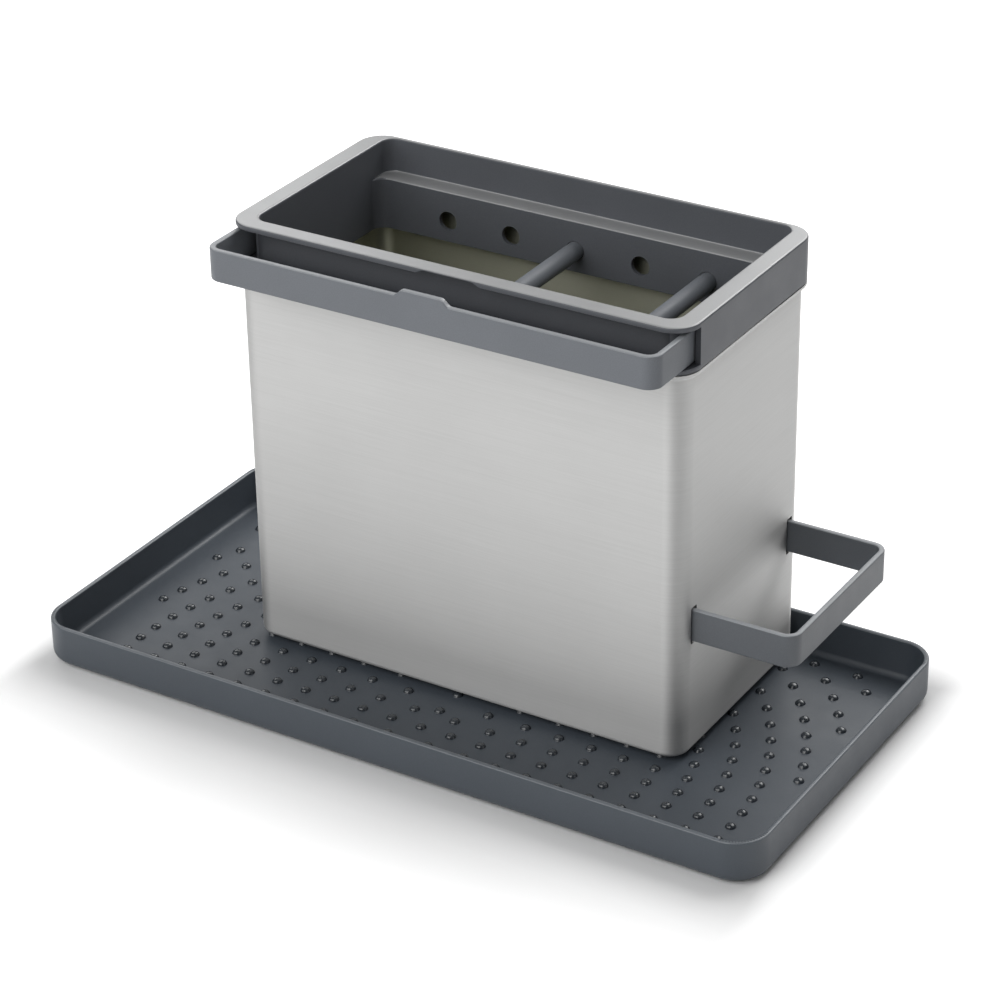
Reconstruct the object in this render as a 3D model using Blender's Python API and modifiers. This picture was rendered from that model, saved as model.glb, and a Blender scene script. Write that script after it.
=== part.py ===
"""Sink organizer: a drip tray with a steel tower on it, which has a collar, two divider bars and two rails.

Lengths are in metres and +Z is up. The origin is the middle of the tray, on the surface that it stands on.
The wide side of the object runs along X, its front faces -Y, and the side rail comes out at +X.
"""

import math

import bmesh
import bpy
from mathutils import Matrix, Vector

MM = 0.001

# Steps of the round parts
CORNER_STEPS = 7
EDGE_STEPS = 3
ROUND_STEPS = 24
DOME_SIDES = 6

# Clearances
SEAT_GAP = 0.3 * MM
SLIDE_GAP = 0.4 * MM
OVERRUN = 2.0 * MM

# How near a face must look along a direction, and a point lie to a level, to be picked
FACING_SHARE = 0.99
LEVEL_TOLERANCE = 0.05 * MM

# Tray
TRAY_LENGTH = 320.0 * MM
TRAY_DEPTH = 159.0 * MM
TRAY_HEIGHT = 17.8 * MM
TRAY_WALL = 2.0 * MM
TRAY_FLOOR = 2.2 * MM
TRAY_CORNER_RADIUS = 14.0 * MM
TRAY_LOWER_EDGE_RADIUS = 4.0 * MM
TRAY_WALL_DRAFT = 1.0 * MM
DRAIN_BAND_WIDTH = 20.0 * MM
DRAIN_BAND_FALL = 0.9 * MM

# Domes on the tray's floor, where straight rows cross rings about one point near the front edge
DOME_RADIUS = 2.1 * MM
DOME_HEIGHT = 1.4 * MM
DOME_ROOT = 0.7 * MM
DOME_TOP_SHARE = 0.5
DOME_ROW_PITCH = 9.8 * MM
DOME_RING_PITCH = 13.4 * MM
RING_CENTRE_X = 1.6 * MM
RING_CENTRE_FROM_FRONT = 30.5 * MM
DOME_SIDE_MARGIN = 15.8 * MM
DOME_FRONT_MARGIN = 18.0 * MM
DOME_BACK_MARGIN = 10.5 * MM

# Feet under the tray
TRAY_FOOT_RADIUS = 7.0 * MM
TRAY_FOOT_STAND = 0.8 * MM
TRAY_FOOT_SEAT = 0.7 * MM
TRAY_FOOT_INSET = 26.0 * MM

# Tower shell of sheet steel
TOWER_WIDTH = 193.6 * MM
TOWER_DEPTH = 98.6 * MM
TOWER_HEIGHT = 161.3 * MM
TOWER_SHEET = 0.8 * MM
TOWER_CORNER_RADIUS = 8.6 * MM
TOWER_LOWER_EDGE_RADIUS = 2.5 * MM
TOWER_HEM = 8.0 * MM
TOWER_SHIFT_X = 3.8 * MM
TOWER_BACK_GAP = 5.35 * MM
FLARE_HEIGHT = 3.0 * MM
FLARE_EDGE_HEIGHT = 0.8 * MM

# Tower base and its feet
BASE_THICKNESS = 2.2 * MM
BASE_INSET = 2.0 * MM
TOWER_FOOT_RADIUS = 6.0 * MM
TOWER_FOOT_DROP = 0.3 * MM
TOWER_FOOT_INSET = 20.0 * MM

# Collar
COLLAR_OVERHANG = 2.0 * MM
COLLAR_HEIGHT = 18.5 * MM
COLLAR_LIP = 2.1 * MM
COLLAR_FLANGE = 1.8 * MM
COLLAR_BAND = 2.2 * MM
COLLAR_RIM_SIDE = 8.2 * MM
COLLAR_RIM_FRONT = 7.7 * MM
COLLAR_WALL = 1.8 * MM
COLLAR_BACK_WALL = 2.0 * MM
COLLAR_OPENING_RADIUS = 5.5 * MM
LEDGE_DEPTH = 14.1 * MM
LEDGE_WIDTH = 8.3 * MM
LEDGE_THICKNESS = 2.0 * MM
INSERT_HEIGHT = 35.6 * MM
SKIRT_HEIGHT = 4.0 * MM
SKIRT_WALL = 1.6 * MM
CHANNEL_BACK_WALL = 11.0 * MM

# Notch in the collar's lip and tab on the front rail
NOTCH_WIDTH = 27.8 * MM
NOTCH_TOP_WIDTH = 21.5 * MM
NOTCH_HEIGHT = 1.6 * MM
TAB_WIDTH = 22.4 * MM
TAB_TOP_WIDTH = 17.2 * MM
TAB_HEIGHT = 2.6 * MM

# Divider bars and the holes that they lie in
HOLE_RADIUS = 4.0 * MM
HOLE_PITCH = 29.0 * MM
HOLE_COUNT = 5
HOLE_ABOVE_EDGE = 9.1 * MM
HOLES_LEFT_OF_BAR_COUNT = {"middle": 2, "right": 4}
BAR_END_CHAMFER = 0.6 * MM

# Front rail
FRONT_RAIL_THICKNESS = 2.5 * MM
FRONT_RAIL_TOP_GAP = 1.3 * MM
FRONT_RAIL_SIDE_GAP = 0.55 * MM
FRONT_RAIL_PULL = 17.7 * MM
FRONT_RAIL_LEG = 66.0 * MM
RAIL_CORNER_RADIUS = 6.0 * MM
RAIL_EDGE = 0.4 * MM
SHARP_ANGLE = math.radians(60)

# Side rail
SIDE_RAIL_INSET = 9.3 * MM
SIDE_RAIL_HEIGHT = 13.5 * MM
SIDE_RAIL_THICKNESS = 2.3 * MM
SIDE_RAIL_BOTTOM = 48.6 * MM
SIDE_RAIL_REACH = 42.2 * MM
SIDE_RAIL_LEG_INSIDE = 60.0 * MM
SLOT_GAP = 1.0 * MM

# Guides of the side rail, and the stop shoes on both rails
GUIDE_WALL = 1.5 * MM
GUIDE_FACE_GAP = 1.2 * MM
GUIDE_END_MARGIN = 3.0 * MM
GUIDE_PAD_LENGTH = 12.0 * MM
GUIDE_PAD_INSET = 10.0 * MM
SHOE_LENGTH = 10.0 * MM
SHOE_STEP = 1.1 * MM
STOP_RIB_LENGTH = 2.8 * MM
STOP_RIB_ROOT = 0.5 * MM

# Heights, from the surface that the tray stands on
TRAY_UNDERSIDE_Z = TRAY_FOOT_STAND
TRAY_FLOOR_Z = TRAY_UNDERSIDE_Z + TRAY_FLOOR
TRAY_TOP_Z = TRAY_UNDERSIDE_Z + TRAY_HEIGHT
TOWER_FOOT_Z = TRAY_FLOOR_Z + DOME_HEIGHT + SEAT_GAP
TOWER_BOTTOM_Z = TOWER_FOOT_Z + TOWER_FOOT_DROP
TOWER_TOP_Z = TOWER_BOTTOM_Z + TOWER_HEIGHT
BASE_Z = TOWER_BOTTOM_Z + TOWER_SHEET + SEAT_GAP
COLLAR_BOTTOM_Z = TOWER_TOP_Z + SEAT_GAP
COLLAR_TOP_Z = COLLAR_BOTTOM_Z + COLLAR_HEIGHT
CHANNEL_FLOOR_Z = COLLAR_BOTTOM_Z + COLLAR_FLANGE
LIP_BOTTOM_Z = COLLAR_TOP_Z - COLLAR_LIP
LEDGE_Z = COLLAR_TOP_Z - LEDGE_DEPTH
INSERT_BOTTOM_Z = COLLAR_TOP_Z - INSERT_HEIGHT
HOLE_Z = INSERT_BOTTOM_Z + HOLE_ABOVE_EDGE
FRONT_RAIL_Z = CHANNEL_FLOOR_Z + SEAT_GAP
FRONT_RAIL_HEIGHT = LIP_BOTTOM_Z - FRONT_RAIL_TOP_GAP - FRONT_RAIL_Z

# Places in plan
TOWER_X = TOWER_SHIFT_X
TOWER_Y = TRAY_DEPTH / 2 - TOWER_BACK_GAP - TOWER_DEPTH / 2
COLLAR_WIDTH = TOWER_WIDTH + 2 * COLLAR_OVERHANG
COLLAR_DEPTH = TOWER_DEPTH + 2 * COLLAR_OVERHANG
COLLAR_CORNER_RADIUS = TOWER_CORNER_RADIUS + COLLAR_OVERHANG

# Plan of the collar, about the tower's middle
COLLAR_FRONT = -COLLAR_DEPTH / 2
COLLAR_BACK = COLLAR_DEPTH / 2
OPENING_WIDTH = COLLAR_WIDTH - 2 * COLLAR_RIM_SIDE
OPENING_FRONT = COLLAR_FRONT + COLLAR_RIM_FRONT
STEP_BACK = COLLAR_BACK - COLLAR_BACK_WALL
OPENING_BACK = STEP_BACK - LEDGE_WIDTH
INSERT_WIDTH = OPENING_WIDTH + 2 * COLLAR_WALL
INSERT_FRONT = OPENING_FRONT - COLLAR_WALL
INSERT_BACK = OPENING_BACK + COLLAR_WALL
INSERT_RADIUS = COLLAR_OPENING_RADIUS + COLLAR_WALL
CHANNEL_WIDTH = COLLAR_WIDTH - 2 * COLLAR_BAND
CHANNEL_BACK = COLLAR_BACK - CHANNEL_BACK_WALL
BAND_FRONT = COLLAR_FRONT + COLLAR_CORNER_RADIUS

# Plan of the front rail and its shoes, about the tower's middle
FRONT_RAIL_WIDTH = CHANNEL_WIDTH - 2 * FRONT_RAIL_SIDE_GAP
FRONT_RAIL_FRONT = COLLAR_FRONT - FRONT_RAIL_PULL
FRONT_RAIL_LEG_END = FRONT_RAIL_FRONT + FRONT_RAIL_LEG
FRONT_SHOE_WIDTH = (CHANNEL_WIDTH - INSERT_WIDTH) / 2 - 2 * SEAT_GAP
STOP_RIB_DROP = FRONT_RAIL_TOP_GAP - SLIDE_GAP

# Plan of the side rail, its guides and shoes, about the tower's middle
SIDE_RAIL_WIDTH = TOWER_DEPTH - 2 * SIDE_RAIL_INSET
SIDE_RAIL_OUT = TOWER_WIDTH / 2 + SIDE_RAIL_REACH
SIDE_RAIL_LEG_END = TOWER_WIDTH / 2 - SIDE_RAIL_LEG_INSIDE
SIDE_RAIL_TRAVEL = SIDE_RAIL_REACH - RAIL_CORNER_RADIUS
SIDE_LEG_Y = (SIDE_RAIL_WIDTH - SIDE_RAIL_THICKNESS) / 2
LEG_BORE_WIDTH = SIDE_RAIL_THICKNESS + 2 * SLIDE_GAP
LEG_BORE_HEIGHT = SIDE_RAIL_HEIGHT + 2 * SLIDE_GAP
SHOE_BORE_WIDTH = LEG_BORE_WIDTH + 2 * SHOE_STEP
SHOE_BORE_HEIGHT = LEG_BORE_HEIGHT + 2 * SHOE_STEP
GUIDE_WIDTH = SHOE_BORE_WIDTH + 2 * GUIDE_WALL
GUIDE_HEIGHT = SHOE_BORE_HEIGHT + 2 * GUIDE_WALL
GUIDE_FRONT = TOWER_WIDTH / 2 - TOWER_SHEET - GUIDE_FACE_GAP
GUIDE_STOP = SIDE_RAIL_LEG_END
GUIDE_REAR = GUIDE_STOP - SEAT_GAP - SHOE_LENGTH - SIDE_RAIL_TRAVEL - GUIDE_END_MARGIN


def clear_scene():
    """Removes what the file holds."""
    for item in list(bpy.data.objects):
        bpy.data.objects.remove(item, do_unlink=True)


def make_collection(name):
    """Adds a collection to the scene."""
    group = bpy.data.collections.new(name)
    bpy.context.scene.collection.children.link(group)
    return group


def make_material(name, colour, roughness, metallic):
    """Makes a Principled material."""
    made = bpy.data.materials.new(name)
    made.use_nodes = True
    shader = made.node_tree.nodes["Principled BSDF"]
    shader.inputs["Base Color"].default_value = (*colour, 1)
    shader.inputs["Roughness"].default_value = roughness
    shader.inputs["Metallic"].default_value = metallic
    return made


class Kit:
    """The collections and materials that the pieces share."""

    def __init__(self):
        self.parts = make_collection("sink_organizer_tray")
        self.cutters = make_collection("cutters")
        self.tray_plastic = make_material("tray_plastic", (0.085, 0.095, 0.108), 0.42, 0)
        self.collar_plastic = make_material("collar_plastic", (0.090, 0.098, 0.110), 0.4, 0)
        self.rail_plastic = make_material("rail_plastic", (0.115, 0.125, 0.140), 0.4, 0)
        self.inner_plastic = make_material("inner_plastic", (0.035, 0.038, 0.042), 0.5, 0)
        self.steel = make_material("satin_steel", (0.58, 0.58, 0.57), 0.34, 1)
        self.rubber = make_material("rubber", (0.02, 0.02, 0.021), 0.8, 0)

    def part(self, name, mesh, finish, parent=None, place=(0, 0, 0)):
        """Adds a named piece at a place under its parent."""
        piece = finish_object(name, mesh, self.parts)
        piece.data.materials.append(finish)
        piece.parent = parent
        piece.location = place
        return piece

    def cutter(self, name, mesh, parent=None):
        """Adds a helper shape that another piece is cut or joined by."""
        helper = finish_object(name, mesh, self.cutters)
        helper.hide_render = True
        helper.display_type = "WIRE"
        helper.parent = parent
        return helper


def finish_object(name, mesh, group):
    """Turns a bmesh into a named object in a collection."""
    data = bpy.data.meshes.new(name)
    mesh.to_mesh(data)
    mesh.free()
    made = bpy.data.objects.new(name, data)
    group.objects.link(made)
    return made


def make_body(kit, name, place, parent=None):
    """Adds the empty that a group of moving pieces hangs on."""
    empty = bpy.data.objects.new(name, None)
    empty.location = place
    empty.parent = parent
    empty.empty_display_size = TRAY_HEIGHT
    kit.parts.objects.link(empty)
    return empty


def box(low, high):
    """A box between two corners."""
    mesh = bmesh.new()
    bmesh.ops.create_cube(mesh, size=1)
    size = Vector(high) - Vector(low)
    bmesh.ops.scale(mesh, vec=size, verts=mesh.verts)
    bmesh.ops.translate(mesh, vec=(Vector(high) + Vector(low)) / 2, verts=mesh.verts)
    return mesh


def round_edges(mesh, edges, radius, steps):
    """Rounds edges with an arc of the given radius."""
    bmesh.ops.bevel(
        mesh, geom=edges, offset=radius, offset_type="OFFSET", segments=steps,
        profile=0.5, affect="EDGES", clamp_overlap=False,
    )


def rounded_block(low, high, radius):
    """A box with its four upright edges rounded."""
    mesh = box(low, high)
    rise = high[2] - low[2]
    upright = [edge for edge in mesh.edges if abs(edge.verts[0].co.z - edge.verts[1].co.z) > rise / 2]
    round_edges(mesh, upright, radius, CORNER_STEPS)
    return mesh


def end_face(mesh, direction):
    """The flat face that lies furthest along a direction and looks that way."""
    way = Vector(direction)
    facing = [face for face in mesh.faces if face.normal.dot(way) > FACING_SHARE]
    return max(facing, key=lambda face: face.calc_center_median().dot(way))


def cylinder(radius, low, high, axis="Z"):
    """A closed cylinder between two heights along Z or Y."""
    mesh = bmesh.new()
    bmesh.ops.create_cone(
        mesh, cap_ends=True, segments=ROUND_STEPS, radius1=radius, radius2=radius, depth=high - low,
    )
    bmesh.ops.translate(mesh, vec=(0, 0, (low + high) / 2), verts=mesh.verts)
    if axis == "Y":
        bmesh.ops.rotate(mesh, matrix=Matrix.Rotation(-math.pi / 2, 3, "X"), verts=mesh.verts)
    return mesh


def join_copies(source, places):
    """One mesh that holds a copy of the source at each place."""
    data = bpy.data.meshes.new("copy")
    source.to_mesh(data)
    source.free()
    joined = bmesh.new()
    for place in places:
        before = set(joined.verts)
        joined.from_mesh(data)
        fresh = [vert for vert in joined.verts if vert not in before]
        bmesh.ops.translate(joined, vec=place, verts=fresh)
    bpy.data.meshes.remove(data)
    return joined


def combine(target, helper, operation):
    """Cuts or joins a piece by a helper shape."""
    change = target.modifiers.new(f"{operation.lower()} {helper.name}", "BOOLEAN")
    change.operation = operation
    change.solver = "EXACT"
    change.object = helper


def corners(width, depth, inset):
    """The four places a set distance in from the sides of a rectangle, keyed by name."""
    x = width / 2 - inset
    y = depth / 2 - inset
    return {
        "front_left": (-x, -y),
        "front_right": (x, -y),
        "back_left": (-x, y),
        "back_right": (x, y),
    }


def floor_height(y):
    """Height of the tray's floor, which falls along the drain band at the back."""
    band_front = TRAY_DEPTH / 2 - TRAY_WALL - DRAIN_BAND_WIDTH
    along = max(0.0, y - band_front) / DRAIN_BAND_WIDTH
    return TRAY_FLOOR_Z - DRAIN_BAND_FALL * min(1.0, along)


def dome_places():
    """Places of the domes: each row meets each ring left and right, and a ring has one more at its back."""
    centre_y = -TRAY_DEPTH / 2 + RING_CENTRE_FROM_FRONT
    front = -TRAY_DEPTH / 2 + DOME_FRONT_MARGIN
    back = TRAY_DEPTH / 2 - DOME_BACK_MARGIN
    side = TRAY_LENGTH / 2 - DOME_SIDE_MARGIN
    rings = math.ceil(math.hypot(TRAY_LENGTH / 2, TRAY_DEPTH) / DOME_RING_PITCH)
    first = math.ceil((front - centre_y) / DOME_ROW_PITCH)
    last = math.floor((back - centre_y) / DOME_ROW_PITCH)
    places = [(RING_CENTRE_X, centre_y)]
    for row in range(first, last + 1):
        rise = row * DOME_ROW_PITCH
        for ring in range(1, rings):
            span = (ring * DOME_RING_PITCH) ** 2 - rise**2
            if span <= 0:
                continue
            for x in (RING_CENTRE_X - math.sqrt(span), RING_CENTRE_X + math.sqrt(span)):
                if abs(x) <= side:
                    places.append((x, centre_y + rise))
    for ring in range(1, rings):
        y = centre_y + ring * DOME_RING_PITCH
        crowded = any(math.hypot(RING_CENTRE_X - px, y - py) < DOME_ROW_PITCH / 2 for px, py in places)
        if y <= back and not crowded:
            places.append((RING_CENTRE_X, y))
    return places


def make_domes(kit):
    """The domes as one helper shape, each with a root that reaches into the floor."""
    slope = DOME_RADIUS * (1 - DOME_TOP_SHARE) / DOME_HEIGHT
    mesh = bmesh.new()
    for x, y in dome_places():
        low = floor_height(y) - DOME_ROOT
        high = floor_height(y) + DOME_HEIGHT
        bmesh.ops.create_cone(
            mesh, cap_ends=True, segments=DOME_SIDES, radius1=DOME_RADIUS + slope * DOME_ROOT,
            radius2=DOME_RADIUS * DOME_TOP_SHARE, depth=high - low,
            matrix=Matrix.Translation((x, y, (low + high) / 2)),
        )
    return kit.cutter("domes", mesh)


def make_tray(kit):
    """The drip tray: a rounded block hollowed from above, with a drain band, domes and seats for the feet."""
    half = Vector((TRAY_LENGTH / 2, TRAY_DEPTH / 2))
    low = (-half.x, -half.y, TRAY_UNDERSIDE_Z)
    high = (half.x, half.y, TRAY_TOP_Z)
    mesh = rounded_block(low, high, TRAY_CORNER_RADIUS)
    round_edges(mesh, list(end_face(mesh, (0, 0, -1)).edges), TRAY_LOWER_EDGE_RADIUS, EDGE_STEPS)
    floor = end_face(mesh, (0, 0, 1))
    bmesh.ops.inset_region(mesh, faces=[floor], thickness=TRAY_WALL, use_even_offset=True)
    fall = TRAY_FLOOR_Z - TRAY_TOP_Z
    bmesh.ops.inset_region(
        mesh, faces=[floor], thickness=TRAY_WALL_DRAFT, depth=fall, use_even_offset=True,
    )
    band_front = half.y - TRAY_WALL - DRAIN_BAND_WIDTH
    bmesh.ops.bisect_plane(
        mesh, geom=[floor, *floor.edges, *floor.verts], plane_co=(0, band_front, 0), plane_no=(0, 1, 0),
    )
    for vert in mesh.verts:
        if abs(vert.co.z - TRAY_FLOOR_Z) < LEVEL_TOLERANCE:
            vert.co.z = floor_height(vert.co.y)
    tray = kit.part("tray", mesh, kit.tray_plastic)
    combine(tray, make_domes(kit), "UNION")
    seat = cylinder(
        TRAY_FOOT_RADIUS + SEAT_GAP, TRAY_UNDERSIDE_Z - OVERRUN, TRAY_UNDERSIDE_Z + TRAY_FOOT_SEAT,
    )
    places = [(x, y, 0) for x, y in corners(TRAY_LENGTH, TRAY_DEPTH, TRAY_FOOT_INSET).values()]
    combine(tray, kit.cutter("tray_foot_seats", join_copies(seat, places)), "DIFFERENCE")
    return tray


def make_tray_feet(kit):
    """Four rubber feet in the seats under the tray."""
    for where, (x, y) in corners(TRAY_LENGTH, TRAY_DEPTH, TRAY_FOOT_INSET).items():
        mesh = cylinder(TRAY_FOOT_RADIUS, 0, TRAY_UNDERSIDE_Z + TRAY_FOOT_SEAT - SEAT_GAP)
        kit.part(f"tray_foot_{where}", mesh, kit.rubber, place=(x, y, 0))


def move_outline(verts, distance):
    """Moves the points of the tower's outline square to it, outward."""
    reach = Vector((TOWER_WIDTH / 2 - TOWER_CORNER_RADIUS, TOWER_DEPTH / 2 - TOWER_CORNER_RADIUS))
    for vert in verts:
        core = Vector((
            max(-reach.x, min(reach.x, vert.co.x)),
            max(-reach.y, min(reach.y, vert.co.y)),
        ))
        vert.co.xy += (vert.co.xy - core).normalized() * distance


def extend_rim(mesh, rise, outward):
    """Carries the open top edge of a shell up and outward by one ring of faces."""
    rim = [edge for edge in mesh.edges if edge.is_boundary and edge.verts[0].co.z > TOWER_HEIGHT / 2]
    grown = bmesh.ops.extrude_edge_only(mesh, edges=rim)["geom"]
    verts = [item for item in grown if isinstance(item, bmesh.types.BMVert)]
    bmesh.ops.translate(mesh, vec=(0, 0, rise), verts=verts)
    move_outline(verts, outward)


def make_tower_shell(kit, tower):
    """The steel sleeve: open at the top with a flared edge, and turned in at the bottom as a hem."""
    half = Vector((TOWER_WIDTH / 2, TOWER_DEPTH / 2))
    wall_top = TOWER_HEIGHT - FLARE_HEIGHT
    mesh = rounded_block((-half.x, -half.y, 0), (half.x, half.y, wall_top), TOWER_CORNER_RADIUS)
    bottom_edges = list(end_face(mesh, (0, 0, -1)).edges)
    round_edges(mesh, bottom_edges, TOWER_LOWER_EDGE_RADIUS, EDGE_STEPS)
    bottom = end_face(mesh, (0, 0, -1))
    bmesh.ops.inset_region(
        mesh, faces=[bottom], thickness=TOWER_HEM - TOWER_LOWER_EDGE_RADIUS, use_even_offset=True,
    )
    bmesh.ops.delete(mesh, geom=[bottom, end_face(mesh, (0, 0, 1))], context="FACES_ONLY")
    extend_rim(mesh, FLARE_HEIGHT - FLARE_EDGE_HEIGHT, COLLAR_OVERHANG)
    extend_rim(mesh, FLARE_EDGE_HEIGHT, 0)
    shell = kit.part("tower_shell", mesh, kit.steel, tower)
    wall = shell.modifiers.new("sheet", "SOLIDIFY")
    wall.thickness = TOWER_SHEET
    wall.offset = -1
    wall.use_even_offset = True
    wall.use_quality_normals = True
    reach_y = SIDE_RAIL_THICKNESS / 2 + SLOT_GAP
    low = (TOWER_WIDTH / 2 - TOWER_SHEET - OVERRUN, -reach_y, SIDE_RAIL_BOTTOM - SLOT_GAP)
    high = (TOWER_WIDTH / 2 + OVERRUN, reach_y, SIDE_RAIL_BOTTOM + SIDE_RAIL_HEIGHT + SLOT_GAP)
    slots = join_copies(box(low, high), [(0, -SIDE_LEG_Y, 0), (0, SIDE_LEG_Y, 0)])
    combine(shell, kit.cutter("tower_slots", slots, tower), "DIFFERENCE")
    return shell


def make_tower_base(kit, tower):
    """The base plate, which lies on the hem inside the sleeve, and its four feet."""
    half = Vector((TOWER_WIDTH / 2 - BASE_INSET, TOWER_DEPTH / 2 - BASE_INSET))
    low = BASE_Z - TOWER_BOTTOM_Z
    mesh = rounded_block(
        (-half.x, -half.y, low), (half.x, half.y, low + BASE_THICKNESS), TOWER_CORNER_RADIUS - BASE_INSET,
    )
    kit.part("tower_base", mesh, kit.inner_plastic, tower)
    for where, (x, y) in corners(TOWER_WIDTH, TOWER_DEPTH, TOWER_FOOT_INSET).items():
        mesh = cylinder(TOWER_FOOT_RADIUS, -TOWER_FOOT_DROP, low - SEAT_GAP)
        kit.part(f"tower_foot_{where}", mesh, kit.rubber, tower, (x, y, 0))


def side_sign(where):
    """-1 for the front or left piece of a pair and 1 for the other."""
    return -1 if where in ("front", "left") else 1


def make_guides(kit, tower):
    """Two guides inside the tower: a bore for the side rail's leg, wider at the rear for its stop shoe."""
    middle = SIDE_RAIL_BOTTOM + SIDE_RAIL_HEIGHT / 2
    wall_y = TOWER_DEPTH / 2 - TOWER_SHEET - SEAT_GAP
    for where in ("front", "back"):
        sign = side_sign(where)
        leg_y = sign * SIDE_LEG_Y
        low = Vector((GUIDE_REAR, leg_y - GUIDE_WIDTH / 2, middle - GUIDE_HEIGHT / 2))
        high = Vector((GUIDE_FRONT, leg_y + GUIDE_WIDTH / 2, middle + GUIDE_HEIGHT / 2))
        guide = kit.part(f"side_rail_guide_{where}", box(low, high), kit.inner_plastic, tower)
        pad_y = sorted((leg_y, sign * wall_y))
        pad_half = SIDE_RAIL_HEIGHT / 2
        pad = box((0, pad_y[0], middle - pad_half), (GUIDE_PAD_LENGTH, pad_y[1], middle + pad_half))
        pad_places = [
            (GUIDE_REAR + GUIDE_PAD_INSET, 0, 0),
            (GUIDE_FRONT - GUIDE_PAD_INSET - GUIDE_PAD_LENGTH, 0, 0),
        ]
        combine(guide, kit.cutter(f"guide_pads_{where}", join_copies(pad, pad_places), tower), "UNION")
        for label, rear, front, width, height in (
            ("leg", GUIDE_REAR, GUIDE_FRONT, LEG_BORE_WIDTH, LEG_BORE_HEIGHT),
            ("shoe", GUIDE_REAR, GUIDE_STOP, SHOE_BORE_WIDTH, SHOE_BORE_HEIGHT),
        ):
            reach = OVERRUN if label == "leg" else 0
            bore = box(
                (rear - OVERRUN, leg_y - width / 2, middle - height / 2),
                (front + reach, leg_y + width / 2, middle + height / 2),
            )
            combine(guide, kit.cutter(f"guide_bore_{label}_{where}", bore, tower), "DIFFERENCE")


def make_collar(kit, collar):
    """The collar: rim, side channels, open front, ledge at the back, skirt, and inner wall with holes."""
    z = collar_heights()
    half = COLLAR_WIDTH / 2
    body = rounded_block((-half, COLLAR_FRONT, 0), (half, COLLAR_BACK, z["top"]), COLLAR_CORNER_RADIUS)
    piece = kit.part("collar", body, kit.collar_plastic, collar)
    combine(piece, make_skirt(kit, collar), "UNION")
    insert = rounded_block(
        (-INSERT_WIDTH / 2, INSERT_FRONT, z["insert"]),
        (INSERT_WIDTH / 2, INSERT_BACK, z["channel"]), INSERT_RADIUS,
    )
    combine(piece, kit.cutter("collar_insert", insert, collar), "UNION")
    opening = rounded_block(
        (-OPENING_WIDTH / 2, OPENING_FRONT, z["insert"] - OVERRUN),
        (OPENING_WIDTH / 2, OPENING_BACK, z["top"] + OVERRUN), COLLAR_OPENING_RADIUS,
    )
    combine(piece, kit.cutter("collar_opening", opening, collar), "DIFFERENCE")
    step = rounded_block(
        (-OPENING_WIDTH / 2, OPENING_FRONT, z["ledge"]),
        (OPENING_WIDTH / 2, STEP_BACK, z["top"] + OVERRUN), COLLAR_OPENING_RADIUS,
    )
    combine(piece, kit.cutter("collar_step", step, collar), "DIFFERENCE")
    combine(piece, make_pocket(kit, collar), "DIFFERENCE")
    for helper in make_channel_cutters(kit, collar):
        combine(piece, helper, "DIFFERENCE")
    combine(piece, make_stop_ribs(kit, collar), "UNION")
    combine(piece, make_notch(kit, collar), "DIFFERENCE")
    combine(piece, make_hole_cutters(kit, collar), "DIFFERENCE")
    return piece


def collar_heights():
    """Heights in the collar, above its bottom."""
    return {
        "top": COLLAR_TOP_Z - COLLAR_BOTTOM_Z,
        "lip": LIP_BOTTOM_Z - COLLAR_BOTTOM_Z,
        "ledge": LEDGE_Z - COLLAR_BOTTOM_Z,
        "channel": CHANNEL_FLOOR_Z - COLLAR_BOTTOM_Z,
        "insert": INSERT_BOTTOM_Z - COLLAR_BOTTOM_Z,
        "hole": HOLE_Z - COLLAR_BOTTOM_Z,
    }


def make_skirt(kit, collar):
    """The ring under the collar that plugs into the steel sleeve."""
    gap = TOWER_SHEET + SLIDE_GAP
    half = Vector((TOWER_WIDTH / 2 - gap, TOWER_DEPTH / 2 - gap))
    radius = TOWER_CORNER_RADIUS - gap
    ring = rounded_block((-half.x, -half.y, -SKIRT_HEIGHT), (half.x, half.y, COLLAR_FLANGE / 2), radius)
    skirt = kit.cutter("collar_skirt", ring, collar)
    inside = rounded_block(
        (-half.x + SKIRT_WALL, -half.y + SKIRT_WALL, -SKIRT_HEIGHT - OVERRUN),
        (half.x - SKIRT_WALL, half.y - SKIRT_WALL, COLLAR_FLANGE), radius - SKIRT_WALL,
    )
    combine(skirt, kit.cutter("collar_skirt_inside", inside, collar), "DIFFERENCE")
    return skirt


def make_channel_cutters(kit, collar):
    """Cutters for the channels along both sides and for the open front, clear of the inner wall."""
    z = collar_heights()
    core = rounded_block(
        (-INSERT_WIDTH / 2, INSERT_FRONT, z["channel"] - OVERRUN),
        (INSERT_WIDTH / 2, COLLAR_BACK, z["lip"] + OVERRUN), INSERT_RADIUS,
    )
    inner_wall = kit.cutter("channel_core", core, collar)
    half = CHANNEL_WIDTH / 2
    sides = box((-half, COLLAR_FRONT - OVERRUN, z["channel"]), (half, CHANNEL_BACK, z["lip"]))
    half = COLLAR_WIDTH / 2 + OVERRUN
    front = box((-half, COLLAR_FRONT - OVERRUN, z["channel"]), (half, BAND_FRONT, z["lip"]))
    cutters = []
    for name, mesh in (("channel_sides", sides), ("channel_front", front)):
        helper = kit.cutter(name, mesh, collar)
        combine(helper, inner_wall, "DIFFERENCE")
        cutters.append(helper)
    return cutters


def make_pocket(kit, collar):
    """The pocket that hollows the ledge from below, between the inner wall and the skirt."""
    z = collar_heights()
    half = INSERT_WIDTH / 2 - INSERT_RADIUS
    back = TOWER_DEPTH / 2 - TOWER_SHEET - SLIDE_GAP - SKIRT_WALL
    mesh = box((-half, INSERT_BACK, -SKIRT_HEIGHT), (half, back, z["ledge"] - LEDGE_THICKNESS))
    return kit.cutter("collar_pocket", mesh, collar)


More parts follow.
